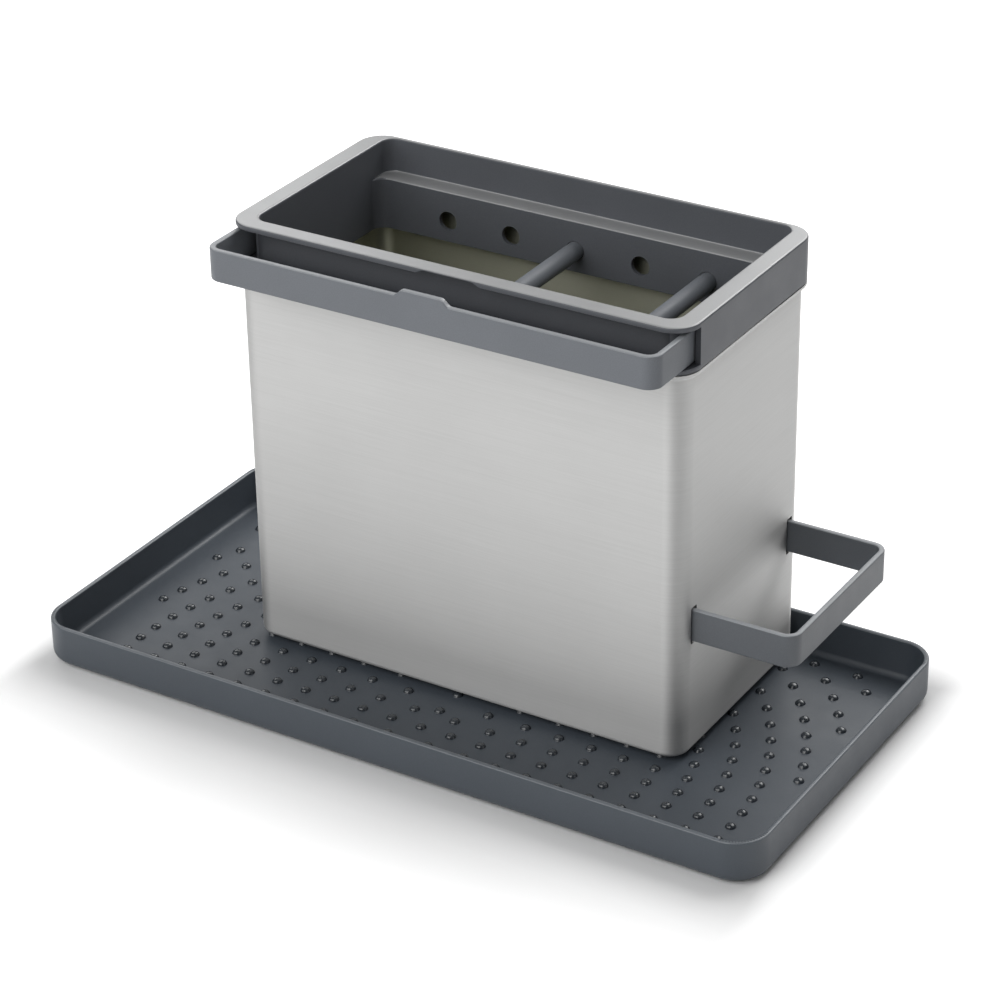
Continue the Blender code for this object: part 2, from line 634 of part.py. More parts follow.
def make_stop_ribs(kit, collar):
    """A rib under the roof of each channel, which stops the front rail's shoes."""
    z = collar_heights()
    front = FRONT_RAIL_LEG_END - STOP_RIB_LENGTH
    low = (-CHANNEL_WIDTH / 2 - STOP_RIB_ROOT, front, z["lip"] - STOP_RIB_DROP)
    high = (-INSERT_WIDTH / 2 + STOP_RIB_ROOT, FRONT_RAIL_LEG_END, z["lip"] + STOP_RIB_ROOT)
    between = (CHANNEL_WIDTH + INSERT_WIDTH) / 2
    ribs = join_copies(box(low, high), [(0, 0, 0), (between, 0, 0)])
    return kit.cutter("channel_stop_ribs", ribs, collar)


def make_notch(kit, collar):
    """The notch in the lip that the front rail's tab slides into."""
    z = collar_heights()
    low = (-NOTCH_WIDTH / 2, COLLAR_FRONT - OVERRUN, z["lip"])
    back = COLLAR_FRONT + FRONT_RAIL_THICKNESS + SLIDE_GAP
    mesh = box(low, (NOTCH_WIDTH / 2, back, z["lip"] + NOTCH_HEIGHT))
    for vert in mesh.verts:
        if vert.co.z > z["lip"] + NOTCH_HEIGHT / 2:
            vert.co.x *= NOTCH_TOP_WIDTH / NOTCH_WIDTH
        else:
            vert.co.z -= OVERRUN
    return kit.cutter("collar_notch", mesh, collar)


def hole_x(index):
    """Place along X of a pair of holes, about the tower's middle."""
    return (index - (HOLE_COUNT - 1) / 2) * HOLE_PITCH


def make_hole_cutters(kit, collar):
    """Five bores through the front and back of the inner wall."""
    bore = cylinder(HOLE_RADIUS, INSERT_FRONT - SEAT_GAP, INSERT_BACK + OVERRUN, "Y")
    height = collar_heights()["hole"]
    places = [(hole_x(index), 0, height) for index in range(HOLE_COUNT)]
    return kit.cutter("collar_holes", join_copies(bore, places), collar)


def make_divider_bars(kit, collar):
    """The two round bars, each lying in one pair of holes."""
    for name, index in HOLES_LEFT_OF_BAR_COUNT.items():
        mesh = cylinder(HOLE_RADIUS - SEAT_GAP, INSERT_FRONT, INSERT_BACK, "Y")
        ends = [edge for face in mesh.faces if abs(face.normal.y) > FACING_SHARE for edge in face.edges]
        round_edges(mesh, ends, BAR_END_CHAMFER, 1)
        place = (hole_x(index), 0, collar_heights()["hole"])
        kit.part(f"divider_bar_{name}", mesh, kit.collar_plastic, collar, place)


def rail_mesh(width, leg, height):
    """The outer face of a U-shaped flat bar, open to +Y: a box without its top, foot and back."""
    mesh = box((-width / 2, 0, 0), (width / 2, leg, height))
    front = end_face(mesh, (0, -1, 0))
    upright = [edge for edge in front.edges if abs(edge.verts[0].co.z - edge.verts[1].co.z) > height / 2]
    round_edges(mesh, upright, RAIL_CORNER_RADIUS, CORNER_STEPS)
    open_sides = [end_face(mesh, way) for way in ((0, 1, 0), (0, 0, 1), (0, 0, -1))]
    bmesh.ops.delete(mesh, geom=open_sides, context="FACES")
    return mesh


def raise_tab(mesh):
    """Raises the finger tab from the top edge of the front rail."""
    for x in (-TAB_WIDTH / 2, -TAB_TOP_WIDTH / 2, TAB_TOP_WIDTH / 2, TAB_WIDTH / 2):
        bmesh.ops.bisect_plane(
            mesh, geom=[*mesh.verts, *mesh.edges, *mesh.faces], plane_co=(x, 0, 0), plane_no=(1, 0, 0),
        )
    for vert in mesh.verts:
        if vert.co.z > FRONT_RAIL_HEIGHT / 2 and abs(vert.co.x) < (TAB_TOP_WIDTH + TAB_WIDTH) / 4:
            vert.co.z += TAB_HEIGHT


def dress_rail(rail, thickness):
    """Gives a rail's face its thickness and takes the sharpness off its edges."""
    wall = rail.modifiers.new("bar", "SOLIDIFY")
    wall.thickness = thickness
    wall.offset = -1
    wall.use_even_offset = True
    edge = rail.modifiers.new("edges", "BEVEL")
    edge.width = RAIL_EDGE
    edge.segments = 1
    edge.limit_method = "ANGLE"
    edge.angle_limit = SHARP_ANGLE


def make_front_rail(kit, rail):
    """The front rail, with its finger tab, and the stop shoes on its legs."""
    mesh = rail_mesh(FRONT_RAIL_WIDTH, FRONT_RAIL_LEG, FRONT_RAIL_HEIGHT)
    raise_tab(mesh)
    bar = kit.part("front_rail", mesh, kit.rail_plastic, rail)
    dress_rail(bar, FRONT_RAIL_THICKNESS)
    middle = (CHANNEL_WIDTH + INSERT_WIDTH) / 4
    low_z = CHANNEL_FLOOR_Z + SEAT_GAP - FRONT_RAIL_Z
    high_z = LIP_BOTTOM_Z - SEAT_GAP - FRONT_RAIL_Z
    start = FRONT_RAIL_LEG + SEAT_GAP
    for where in ("left", "right"):
        x = side_sign(where) * middle
        low = (x - FRONT_SHOE_WIDTH / 2, start, low_z)
        shoe = box(low, (x + FRONT_SHOE_WIDTH / 2, start + SHOE_LENGTH, high_z))
        kit.part(f"front_rail_stop_{where}", shoe, kit.inner_plastic, rail)


def make_side_rail(kit, rail):
    """The side rail, turned so that it opens to -X, and the stop shoes on its legs."""
    leg = SIDE_RAIL_OUT - SIDE_RAIL_LEG_END
    mesh = rail_mesh(SIDE_RAIL_WIDTH, leg, SIDE_RAIL_HEIGHT)
    bmesh.ops.rotate(mesh, matrix=Matrix.Rotation(math.pi / 2, 3, "Z"), verts=mesh.verts)
    bar = kit.part("side_rail", mesh, kit.rail_plastic, rail)
    dress_rail(bar, SIDE_RAIL_THICKNESS)
    width = SHOE_BORE_WIDTH - 2 * SEAT_GAP
    height = SHOE_BORE_HEIGHT - 2 * SEAT_GAP
    middle = SIDE_RAIL_HEIGHT / 2
    front = -leg - SEAT_GAP
    for where in ("front", "back"):
        y = side_sign(where) * SIDE_LEG_Y
        low = (front - SHOE_LENGTH, y - width / 2, middle - height / 2)
        shoe = box(low, (front, y + width / 2, middle + height / 2))
        kit.part(f"side_rail_stop_{where}", shoe, kit.inner_plastic, rail)


def main():
    """Builds the object from the tray up."""
    clear_scene()
    kit = Kit()
    make_tray(kit)
    make_tray_feet(kit)
    tower = make_body(kit, "tower_lift", (TOWER_X, TOWER_Y, TOWER_BOTTOM_Z))
    make_tower_shell(kit, tower)
    make_tower_base(kit, tower)
    make_guides(kit, tower)
    collar = make_body(kit, "collar_lift", (0, 0, COLLAR_BOTTOM_Z - TOWER_BOTTOM_Z), tower)
    make_collar(kit, collar)
    make_divider_bars(kit, collar)
    front_place = (0, FRONT_RAIL_FRONT, FRONT_RAIL_Z - COLLAR_BOTTOM_Z)
    make_front_rail(kit, make_body(kit, "front_rail_slide", front_place, collar))
    side_place = (SIDE_RAIL_OUT, 0, SIDE_RAIL_BOTTOM)
    make_side_rail(kit, make_body(kit, "side_rail_slide", side_place, tower))


main()
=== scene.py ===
"""Looks of a sink organizer: a drip tray, and on it a steel tower with its collar, bars and pull-out rails.

Lengths are in metres, +Z is up and the front faces -Y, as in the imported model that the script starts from.
"""

import logging
import math
from collections.abc import Callable, Iterator, Sequence
from contextlib import contextmanager
from dataclasses import dataclass, field
from enum import Enum

import bmesh
import bpy
from mathutils import Matrix, Vector


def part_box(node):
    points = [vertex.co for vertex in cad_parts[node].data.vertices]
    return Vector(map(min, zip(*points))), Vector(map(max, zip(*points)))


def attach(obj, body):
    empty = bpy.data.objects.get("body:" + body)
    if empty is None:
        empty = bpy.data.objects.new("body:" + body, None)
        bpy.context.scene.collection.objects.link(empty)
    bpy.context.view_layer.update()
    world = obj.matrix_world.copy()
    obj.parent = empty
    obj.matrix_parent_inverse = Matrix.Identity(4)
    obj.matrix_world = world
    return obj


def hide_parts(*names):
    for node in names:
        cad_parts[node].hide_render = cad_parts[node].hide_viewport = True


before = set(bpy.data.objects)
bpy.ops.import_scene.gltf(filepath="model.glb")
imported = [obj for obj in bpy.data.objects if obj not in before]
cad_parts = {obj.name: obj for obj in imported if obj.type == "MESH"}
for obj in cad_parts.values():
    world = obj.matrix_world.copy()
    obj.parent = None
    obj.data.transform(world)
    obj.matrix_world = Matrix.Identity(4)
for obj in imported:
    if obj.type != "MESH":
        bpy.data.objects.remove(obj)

MM = 0.001
HAIR = 0.02 * MM
NEAR = 0.05 * MM
LOG = logging.getLogger("organizer")

Object = bpy.types.Object
Material = bpy.types.Material
Socket = bpy.types.NodeSocket
Vert = bmesh.types.BMVert
Edge = bmesh.types.BMEdge
Face = bmesh.types.BMFace
Point = tuple[float, float, float]
Colour = tuple[float, float, float]
Inputs = dict[str | int, Socket | float | Sequence[float]]


class Body(Enum):
    """The moving bodies that the pieces ride on."""

    TRAY = "tray"
    TOWER = "tower"
    COLLAR = "collar"
    MIDDLE_BAR = "divider_bar_middle"
    RIGHT_BAR = "divider_bar_right"
    FRONT_RAIL = "front_rail"
    SIDE_RAIL = "side_rail"


class Way(Enum):
    """What a helper shape does to a piece."""

    CUT = "DIFFERENCE"
    ADD = "UNION"


class Along(Enum):
    """The axis that a round piece lies along, with the turn that lays it there."""

    Z = (0.0, 0.0, 0.0)
    Y = (math.pi / 2, 0.0, 0.0)


class Kind(Enum):
    """The kind of part that is picked on an open piece, and where the mesh keeps it."""

    POINT = ("VERT", "verts")
    EDGE = ("EDGE", "edges")
    FACE = ("FACE", "faces")


def select_only(piece: Object) -> None:
    """Makes a piece the one that is selected and active."""
    bpy.ops.object.select_all(action="DESELECT")
    piece.select_set(True)
    bpy.context.view_layer.objects.active = piece


def put(name: str, data: bpy.types.ID) -> Object:
    """Puts an object that holds some data into the scene.

    Args:
        name: The object's name.
        data: Its mesh, lamp or camera.

    Returns:
        The object.
    """
    thing = bpy.data.objects.new(name, data)
    bpy.context.scene.collection.objects.link(thing)
    return thing


def take(name: str) -> Object:
    """Names the primitive that was just added, and puts its place into its mesh.

    Args:
        name: The piece's name.

    Returns:
        The piece, which sits at the origin.
    """
    piece = bpy.context.active_object
    piece.name = piece.data.name = name
    bpy.ops.object.transform_apply(location=True, rotation=True, scale=True)
    return piece


def add_block(name: str, low: Sequence[float], high: Sequence[float]) -> Object:
    """Adds a block between two corners.

    Args:
        name: The piece's name.
        low: Its lowest corner.
        high: Its highest corner.

    Returns:
        The block.
    """
    bpy.ops.object.select_all(action="DESELECT")
    middle = (Vector(low) + Vector(high)) / 2
    bpy.ops.mesh.primitive_cube_add(size=1, location=middle, scale=Vector(high) - Vector(low))
    return take(name)


def add_disc(
    name: str, radius: float, length: float, middle: Sequence[float], along: Along, sides: int
) -> Object:
    """Adds a round bar or disc.

    Args:
        name: The piece's name.
        radius: Its radius.
        length: Its length.
        middle: Its middle point.
        along: The axis that it lies along.
        sides: How many sides it has.

    Returns:
        The disc.
    """
    bpy.ops.object.select_all(action="DESELECT")
    bpy.ops.mesh.primitive_cylinder_add(
        vertices=sides, radius=radius, depth=length, location=middle, rotation=along.value
    )
    return take(name)


@contextmanager
def editing(piece: Object) -> Iterator[None]:
    """Opens a piece in edit mode with nothing selected, and closes it again.

    Args:
        piece: The piece to work on.

    Yields:
        Nothing.
    """
    select_only(piece)
    bpy.ops.object.mode_set(mode="EDIT")
    bpy.ops.mesh.select_all(action="DESELECT")
    yield
    bpy.ops.object.mode_set(mode="OBJECT")


def pick(kind: Kind, test: Callable[[Vert | Edge | Face], bool]) -> int:
    """Selects the points, edges or faces of the open piece that pass a test.

    Args:
        kind: Which of them are looked through.
        test: Says of one whether it is wanted.

    Returns:
        How many were selected.
    """
    mode, group = kind.value
    bpy.ops.mesh.select_mode(type=mode)
    bpy.ops.mesh.select_all(action="DESELECT")
    data = bpy.context.active_object.data
    mesh = bmesh.from_edit_mesh(data)
    wanted = [part for part in getattr(mesh, group) if test(part)]
    for part in wanted:
        part.select_set(True)
    if kind is Kind.POINT:
        mesh.select_flush_mode()
    bmesh.update_edit_mesh(data)
    return len(wanted)


def looks(way: Sequence[float], at: float | None = None) -> Callable[[Face], bool]:
    """Makes a test for faces that look along a unit vector, at a given distance along it or at any."""
    axis = Vector(way)
    return lambda face: face.normal.dot(axis) >= 0.999 and (
        at is None or abs(face.calc_center_median().dot(axis) - at) < HAIR
    )


def level(height: float) -> Callable[[Edge], bool]:
    """Makes a test for edges that lie at a height."""
    return lambda edge: all(abs(vert.co.z - height) < HAIR for vert in edge.verts)


def runs_along(edge: Edge, axis: int) -> bool:
    """True for an edge that runs along an axis."""
    run = edge.verts[1].co - edge.verts[0].co
    return abs(run[axis]) > 0.9 * run.length


def upright(edge: Edge) -> bool:
    """True for an edge that runs straight up."""
    run = edge.verts[1].co - edge.verts[0].co
    return math.hypot(run.x, run.y) < HAIR


def sharp(edge: Edge) -> bool:
    """True for an edge whose faces meet at more than 50 degrees."""
    return len(edge.link_faces) == 2 and edge.calc_face_angle(0.0) > math.radians(50)


def sharp_at(height: float) -> Callable[[Edge], bool]:
    """Makes a test for sharp edges that lie at a height."""
    return lambda edge: sharp(edge) and level(height)(edge)


def round_edges(piece: Object, radius: float, steps: int, test: Callable[[Edge], bool]) -> None:
    """Rounds the edges of a piece that pass a test.

    Args:
        piece: The piece.
        radius: The width of the round.
        steps: How many faces the round has.
        test: Says of an edge whether it is rounded.
    """
    with editing(piece):
        if pick(Kind.EDGE, test):
            bpy.ops.mesh.bevel(offset=radius, segments=steps, affect="EDGES", clamp_overlap=False)
        else:
            LOG.warning("%s has no edge to round there", piece.name)


def rounded_block(
    name: str, low: Sequence[float], high: Sequence[float], radius: float, steps: int = 12
) -> Object:
    """Adds a block with round upright edges.

    Args:
        name: The piece's name.
        low: Its lowest corner.
        high: Its highest corner.
        radius: The radius of the upright edges.
        steps: How many faces each round has.

    Returns:
        The block.
    """
    piece = add_block(name, low, high)
    round_edges(piece, radius, steps, upright)
    return piece


def shape(piece: Object, kind: str, **settings: object) -> None:
    """Adds a modifier to a piece and applies it.

    Args:
        piece: The piece.
        kind: The modifier's type.
        settings: The modifier's settings by name.
    """
    select_only(piece)
    change = piece.modifiers.new(kind.lower(), kind)
    for key, value in settings.items():
        setattr(change, key, value)
    bpy.ops.object.modifier_apply(modifier=change.name)


def use(piece: Object, helper: Object, way: Way = Way.CUT) -> None:
    """Cuts a helper shape out of a piece or joins it on, which uses the helper up."""
    shape(piece, "BOOLEAN", operation=way.value, solver="EXACT", object=helper)
    bpy.data.objects.remove(helper, do_unlink=True)


def copy_to(source: Object, name: str, moves: Sequence[Sequence[float]]) -> Object:
    """Makes one piece of copies of a shape, which is used up.

    Args:
        source: The shape, which sits at the origin.
        name: The new piece's name.
        moves: How far each copy is moved.

    Returns:
        The joined piece.
    """
    copies = []
    for move in moves:
        copies.append(put(name, source.data.copy()))
        copies[-1].data.transform(Matrix.Translation(Vector(move)))
    bpy.data.objects.remove(source, do_unlink=True)
    select_only(copies[0])
    for twin in copies:
        twin.select_set(True)
    bpy.ops.object.join()
    copies[0].name = copies[0].data.name = name
    return copies[0]


def smooth(piece: Object, angle: float = 35.0, flats: bool = True) -> None:
    """Shades a piece smooth but for its sharp edges.

    Args:
        piece: The piece.
        angle: The angle in degrees past which an edge stays sharp.
        flats: Whether its flat faces are kept flat.
    """
    select_only(piece)
    bpy.ops.object.shade_smooth_by_angle(angle=math.radians(angle))
    if flats:
        shape(piece, "WEIGHTED_NORMAL", keep_sharp=True, weight=80)


class Board:
    """The node tree of one finish, with short calls that add nodes and join them."""

    def __init__(self, name: str) -> None:
        """Starts a material with a Principled shader.

        Args:
            name: The material's name.
        """
        self.material = bpy.data.materials.new(name)
        self.material.use_nodes = True
        self.tree = self.material.node_tree
        self.shader = self.tree.nodes["Principled BSDF"]
        self.place = self.add("ShaderNodeTexCoord").outputs["Object"]

    def add(self, kind: str, inputs: Inputs | None = None, **settings: object) -> bpy.types.Node:
        """Adds a node.

        Args:
            kind: The node's type.
            inputs: What goes into it.
            settings: Its settings by name.

        Returns:
            The node.
        """
        node = self.tree.nodes.new(kind)
        for key, value in settings.items():
            setattr(node, key, value)
        self.feed(node, inputs or {})
        return node

    def feed(self, node: bpy.types.Node, inputs: Inputs) -> None:
        """Joins sockets to a node's inputs, and sets those that are given as values.

        Args:
            node: The node.
            inputs: The sockets and values, by the name or the index of the input.
        """
        for key, value in inputs.items():
            target = node.inputs[key]
            if isinstance(value, Socket):
                self.tree.links.new(value, target)
            else:
                target.default_value = value

    def noise(self, pitch: float, detail: float = 2.0, stretch: Point = (1, 1, 1)) -> Socket:
        """Adds noise whose lumps have a given size.

        Args:
            pitch: The size of a lump.
            detail: How many finer layers lie on it.
            stretch: How much longer the lumps are along each axis.

        Returns:
            The noise, from 0 to 1.
        """
        scale = [1 / (pitch * share) for share in stretch]
        mapping = self.add("ShaderNodeMapping", {"Scale": scale, "Vector": self.place})
        inputs = {"Scale": 1, "Detail": detail, "Vector": mapping.outputs["Vector"]}
        return self.add("ShaderNodeTexNoise", inputs).outputs["Fac"]

    def spread(self, source: Socket, low: float, high: float) -> Socket:
        """Turns noise into a value between the one where it is weak and the one where it is strong."""
        inputs = {"Value": source, "From Min": 0.3, "From Max": 0.7, "To Min": low, "To Max": high}
        return self.add("ShaderNodeMapRange", inputs, clamp=True).outputs["Result"]

    def sum(self, way: str, *parts: Socket | float) -> Socket:
        """Adds a sum of a given kind, which sockets or numbers go into."""
        return self.add("ShaderNodeMath", dict(enumerate(parts)), operation=way).outputs["Value"]

    def tint(self, share: Socket, first: Colour, second: Colour) -> Socket:
        """Mixes two colours, by the share of the second one."""
        inputs = {0: share, 6: (*first, 1), 7: (*second, 1)}
        return self.add("ShaderNodeMix", inputs, data_type="RGBA").outputs[2]

    def cover(self, tone: Socket, clouds: Socket, low: float, high: float) -> None:
        """Makes a tone under faint clouds the base colour.

        Args:
            tone: The tone.
            clouds: The clouds' noise.
            low: The factor where the clouds are dark.
            high: The factor where they are light.
        """
        inputs = {0: 1, 6: tone, 7: self.tint(self.spread(clouds, 0, 1), (low,) * 3, (high,) * 3)}
        mixed = self.add("ShaderNodeMix", inputs, data_type="RGBA", blend_type="MULTIPLY")
        self.feed(self.shader, {"Base Color": mixed.outputs[2]})

    def gloss(self, noise: Socket, roughness: float, swing: float) -> None:
        """Makes the roughness follow a noise, and swing to either side of its mean."""
        self.feed(self.shader, {"Roughness": self.spread(noise, roughness - swing, roughness + swing)})

    def relief(self, heights: Sequence[tuple[Socket, float]]) -> None:
        """Gives the surface one or more layers of fine relief.

        Args:
            heights: Each layer's noise and its depth.
        """
        below = {}
        for source, depth in heights:
            layer = {"Distance": depth, "Strength": 1, "Height": source, **below}
            below = {"Normal": self.add("ShaderNodeBump", layer).outputs["Normal"]}
        self.feed(self.shader, below)


def shade(colour: Colour, share: float) -> Colour:
    """Makes a colour lighter or darker by a factor."""
    return tuple(channel * share for channel in colour)


@dataclass(frozen=True)
class MouldedPlastic:
    """Moulded polypropylene with a fine spark-eroded grain."""

    name: str
    colour: Colour
    roughness: float = 0.42
    grain: float = 0.45 * MM
    depth: float = 0.012 * MM
    specular: float = 0.5
    speckle: float = 0.06
    cloud: float = 26.0 * MM
    patch: float = 9.0 * MM
    peel: float = 6.0 * MM
    swing: float = 0.03
    clouds: tuple[float, float] = (0.97, 1.03)

    def make(self) -> Material:
        """Makes the material: cloudy colour, uneven gloss, and grain over a faint orange peel."""
        board = Board(self.name)
        grain = board.noise(self.grain, 3)
        dark, light = shade(self.colour, 1 - self.speckle), shade(self.colour, 1 + self.speckle)
        speckle = board.tint(board.spread(grain, 0, 1), dark, light)
        board.cover(speckle, board.noise(self.cloud, 3), *self.clouds)
        board.gloss(board.noise(self.patch, 4), self.roughness, self.swing)
        board.relief([(board.noise(self.peel, 1), self.depth * 2), (grain, self.depth)])
        board.feed(board.shader, {"Specular IOR Level": self.specular})
        return board.material


@dataclass(frozen=True)
class SatinSteel:
    """Stainless sheet with a fine satin finish, brushed sideways."""

    name: str
    colour: Colour
    roughness: float = 0.66
    brush: float = 0.12 * MM
    depth: float = 0.002 * MM
    stretch: float = 0.6
    cloud: float = 45.0 * MM
    swing: float = 0.03
    lengths: tuple[float, float] = (160, 90)
    tones: tuple[float, float] = (0.975, 1.02)
    clouds: tuple[float, float] = (0.98, 1.01)

    def make(self) -> Material:
        """Makes the material: faint clouds, fine level strokes in colour, gloss and relief."""
        board = Board(self.name)
        fine, broad = self.lengths
        strokes = board.noise(self.brush, 3, (fine, fine, 1))
        broad_strokes = board.noise(self.brush * 4, 2, (broad, broad, 1))
        dark, light = (shade(self.colour, tone) for tone in self.tones)
        board.cover(
            board.tint(board.spread(strokes, 0, 1), dark, light), board.noise(self.cloud, 3), *self.clouds
        )
        board.gloss(broad_strokes, self.roughness, self.swing)
        board.relief([(strokes, self.depth)])
        around = board.add("ShaderNodeTangent", direction_type="RADIAL", axis="Z")
        board.feed(board.shader, {"Tangent": around.outputs["Tangent"], "Metallic": 1})
        board.feed(board.shader, {"Anisotropic": self.stretch, "Anisotropic Rotation": 0.25})
        return board.material


@dataclass(frozen=True)
class Rubber:
    """Soft black rubber with a dusty bloom."""

    name: str
    colour: Colour
    roughness: float = 0.8
    bloom: float = 1.8 * MM
    patch: float = 0.8 * MM
    grain: float = 0.4 * MM
    depth: float = 0.02 * MM
    swing: float = 0.06
    lightest: float = 1.9
    specular: float = 0.3

    def make(self) -> Material:
        """Makes the material: a bloom of grey over black, and a matt skin."""
        board = Board(self.name)
        bloom = board.spread(board.noise(self.bloom, 5), 0, 1)
        tone = board.tint(bloom, self.colour, shade(self.colour, self.lightest))
        board.feed(board.shader, {"Base Color": tone, "Specular IOR Level": self.specular})
        board.gloss(board.noise(self.patch, 3), self.roughness, self.swing)
        board.relief([(board.noise(self.grain, 3), self.depth)])
        return board.material


def made(finish: MouldedPlastic | SatinSteel | Rubber) -> Material:
    """Makes a field that holds a finish's material, which is made with the finishes."""
    return field(default_factory=finish.make)


@dataclass
class Finishes:
    """Every finish of the organizer, made once and shared, with lighter and darker copies of the plastics
    that paint highlights, a sheen and shade.
    """

    tray: Material = made(MouldedPlastic("tray_plastic", (0.057, 0.068, 0.082), 0.45))
    # The tray's rounded top edge: the tray's plastic painted lighter as a painted highlight, and glossier.
    tray_top_highlight: Material = made(
        MouldedPlastic("tray_top_painted_highlight", (0.104, 0.118, 0.134), 0.35, specular=0.7)
    )
    # The domes: glossier than the tray's plastic, and painted darker than it as painted shade.
    dome: Material = made(
        MouldedPlastic("dome_painted_shade", (0.026, 0.032, 0.039), 0.25, depth=0.001 * MM, specular=0.8)
    )
    collar: Material = made(MouldedPlastic("collar_plastic", (0.096, 0.102, 0.114), 0.46, specular=0.35))
    # The channels and the open front: the collar's plastic painted darker, as painted shade under the lip.
    recess_shade: Material = made(MouldedPlastic("recess_painted_shade", (0.046, 0.049, 0.056), 0.5, specular=0.25))
    # The rim's top and the ledge's top: the collar's plastic painted about three times lighter as a painted
    # sheen, and glossier.
    rim: Material = made(
        MouldedPlastic(
            "rim_and_ledge_painted_sheen",
            (0.30, 0.304, 0.308),
            0.32,
            grain=0.9 * MM,
            depth=0.001 * MM,
            specular=1.0,
            speckle=0.015,
        )
    )
    rail: Material = made(MouldedPlastic("rail_plastic", (0.160, 0.171, 0.188), 0.45, specular=0.25))
    # The side rail: the rail's plastic painted darker, as painted shade on the rail that faces right.
    side_rail: Material = made(
        MouldedPlastic("side_rail_painted_shade", (0.116, 0.125, 0.137), 0.42, specular=0.35)
    )
    # The rails' upward faces: the rail's plastic painted lighter as a painted highlight, and glossier.
    rail_top_highlight: Material = made(
        MouldedPlastic("rail_top_painted_highlight", (0.235, 0.247, 0.262), 0.35, specular=0.6)
    )
    hidden: Material = made(MouldedPlastic("inner_plastic", (0.035, 0.038, 0.042), 0.5))
    steel: Material = made(SatinSteel("satin_steel", (0.56, 0.56, 0.555)))
    inner_steel: Material = made(SatinSteel("inner_steel", (0.60, 0.60, 0.50), 0.5))
    rubber: Material = made(Rubber("rubber", (0.018, 0.018, 0.019)))


def dress(piece: Object, materials: Sequence[Material], slot: str, body: Body, *nodes: str) -> None:
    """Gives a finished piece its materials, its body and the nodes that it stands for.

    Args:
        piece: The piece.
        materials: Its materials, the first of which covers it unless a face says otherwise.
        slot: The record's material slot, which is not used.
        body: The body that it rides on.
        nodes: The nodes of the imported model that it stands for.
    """
    piece.data.materials.clear()
    for material in materials:
        piece.data.materials.append(material)
    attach(piece, body.value)
    if nodes:
        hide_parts(*nodes)
    LOG.info("%s: %d faces, rides on %s", piece.name, len(piece.data.polygons), body.value)


def paint(piece: Object, index: int, test: Callable[[Face], bool]) -> None:
    """Gives the faces that pass a test another of the piece's materials.

    Args:
        piece: The piece.
        index: Which of its materials they get.
        test: Says of a face whether it is wanted.
    """
    mesh = bmesh.new()
    mesh.from_mesh(piece.data)
    for face in mesh.faces:
        if test(face):
            face.material_index = index
    mesh.to_mesh(piece.data)
    mesh.free()


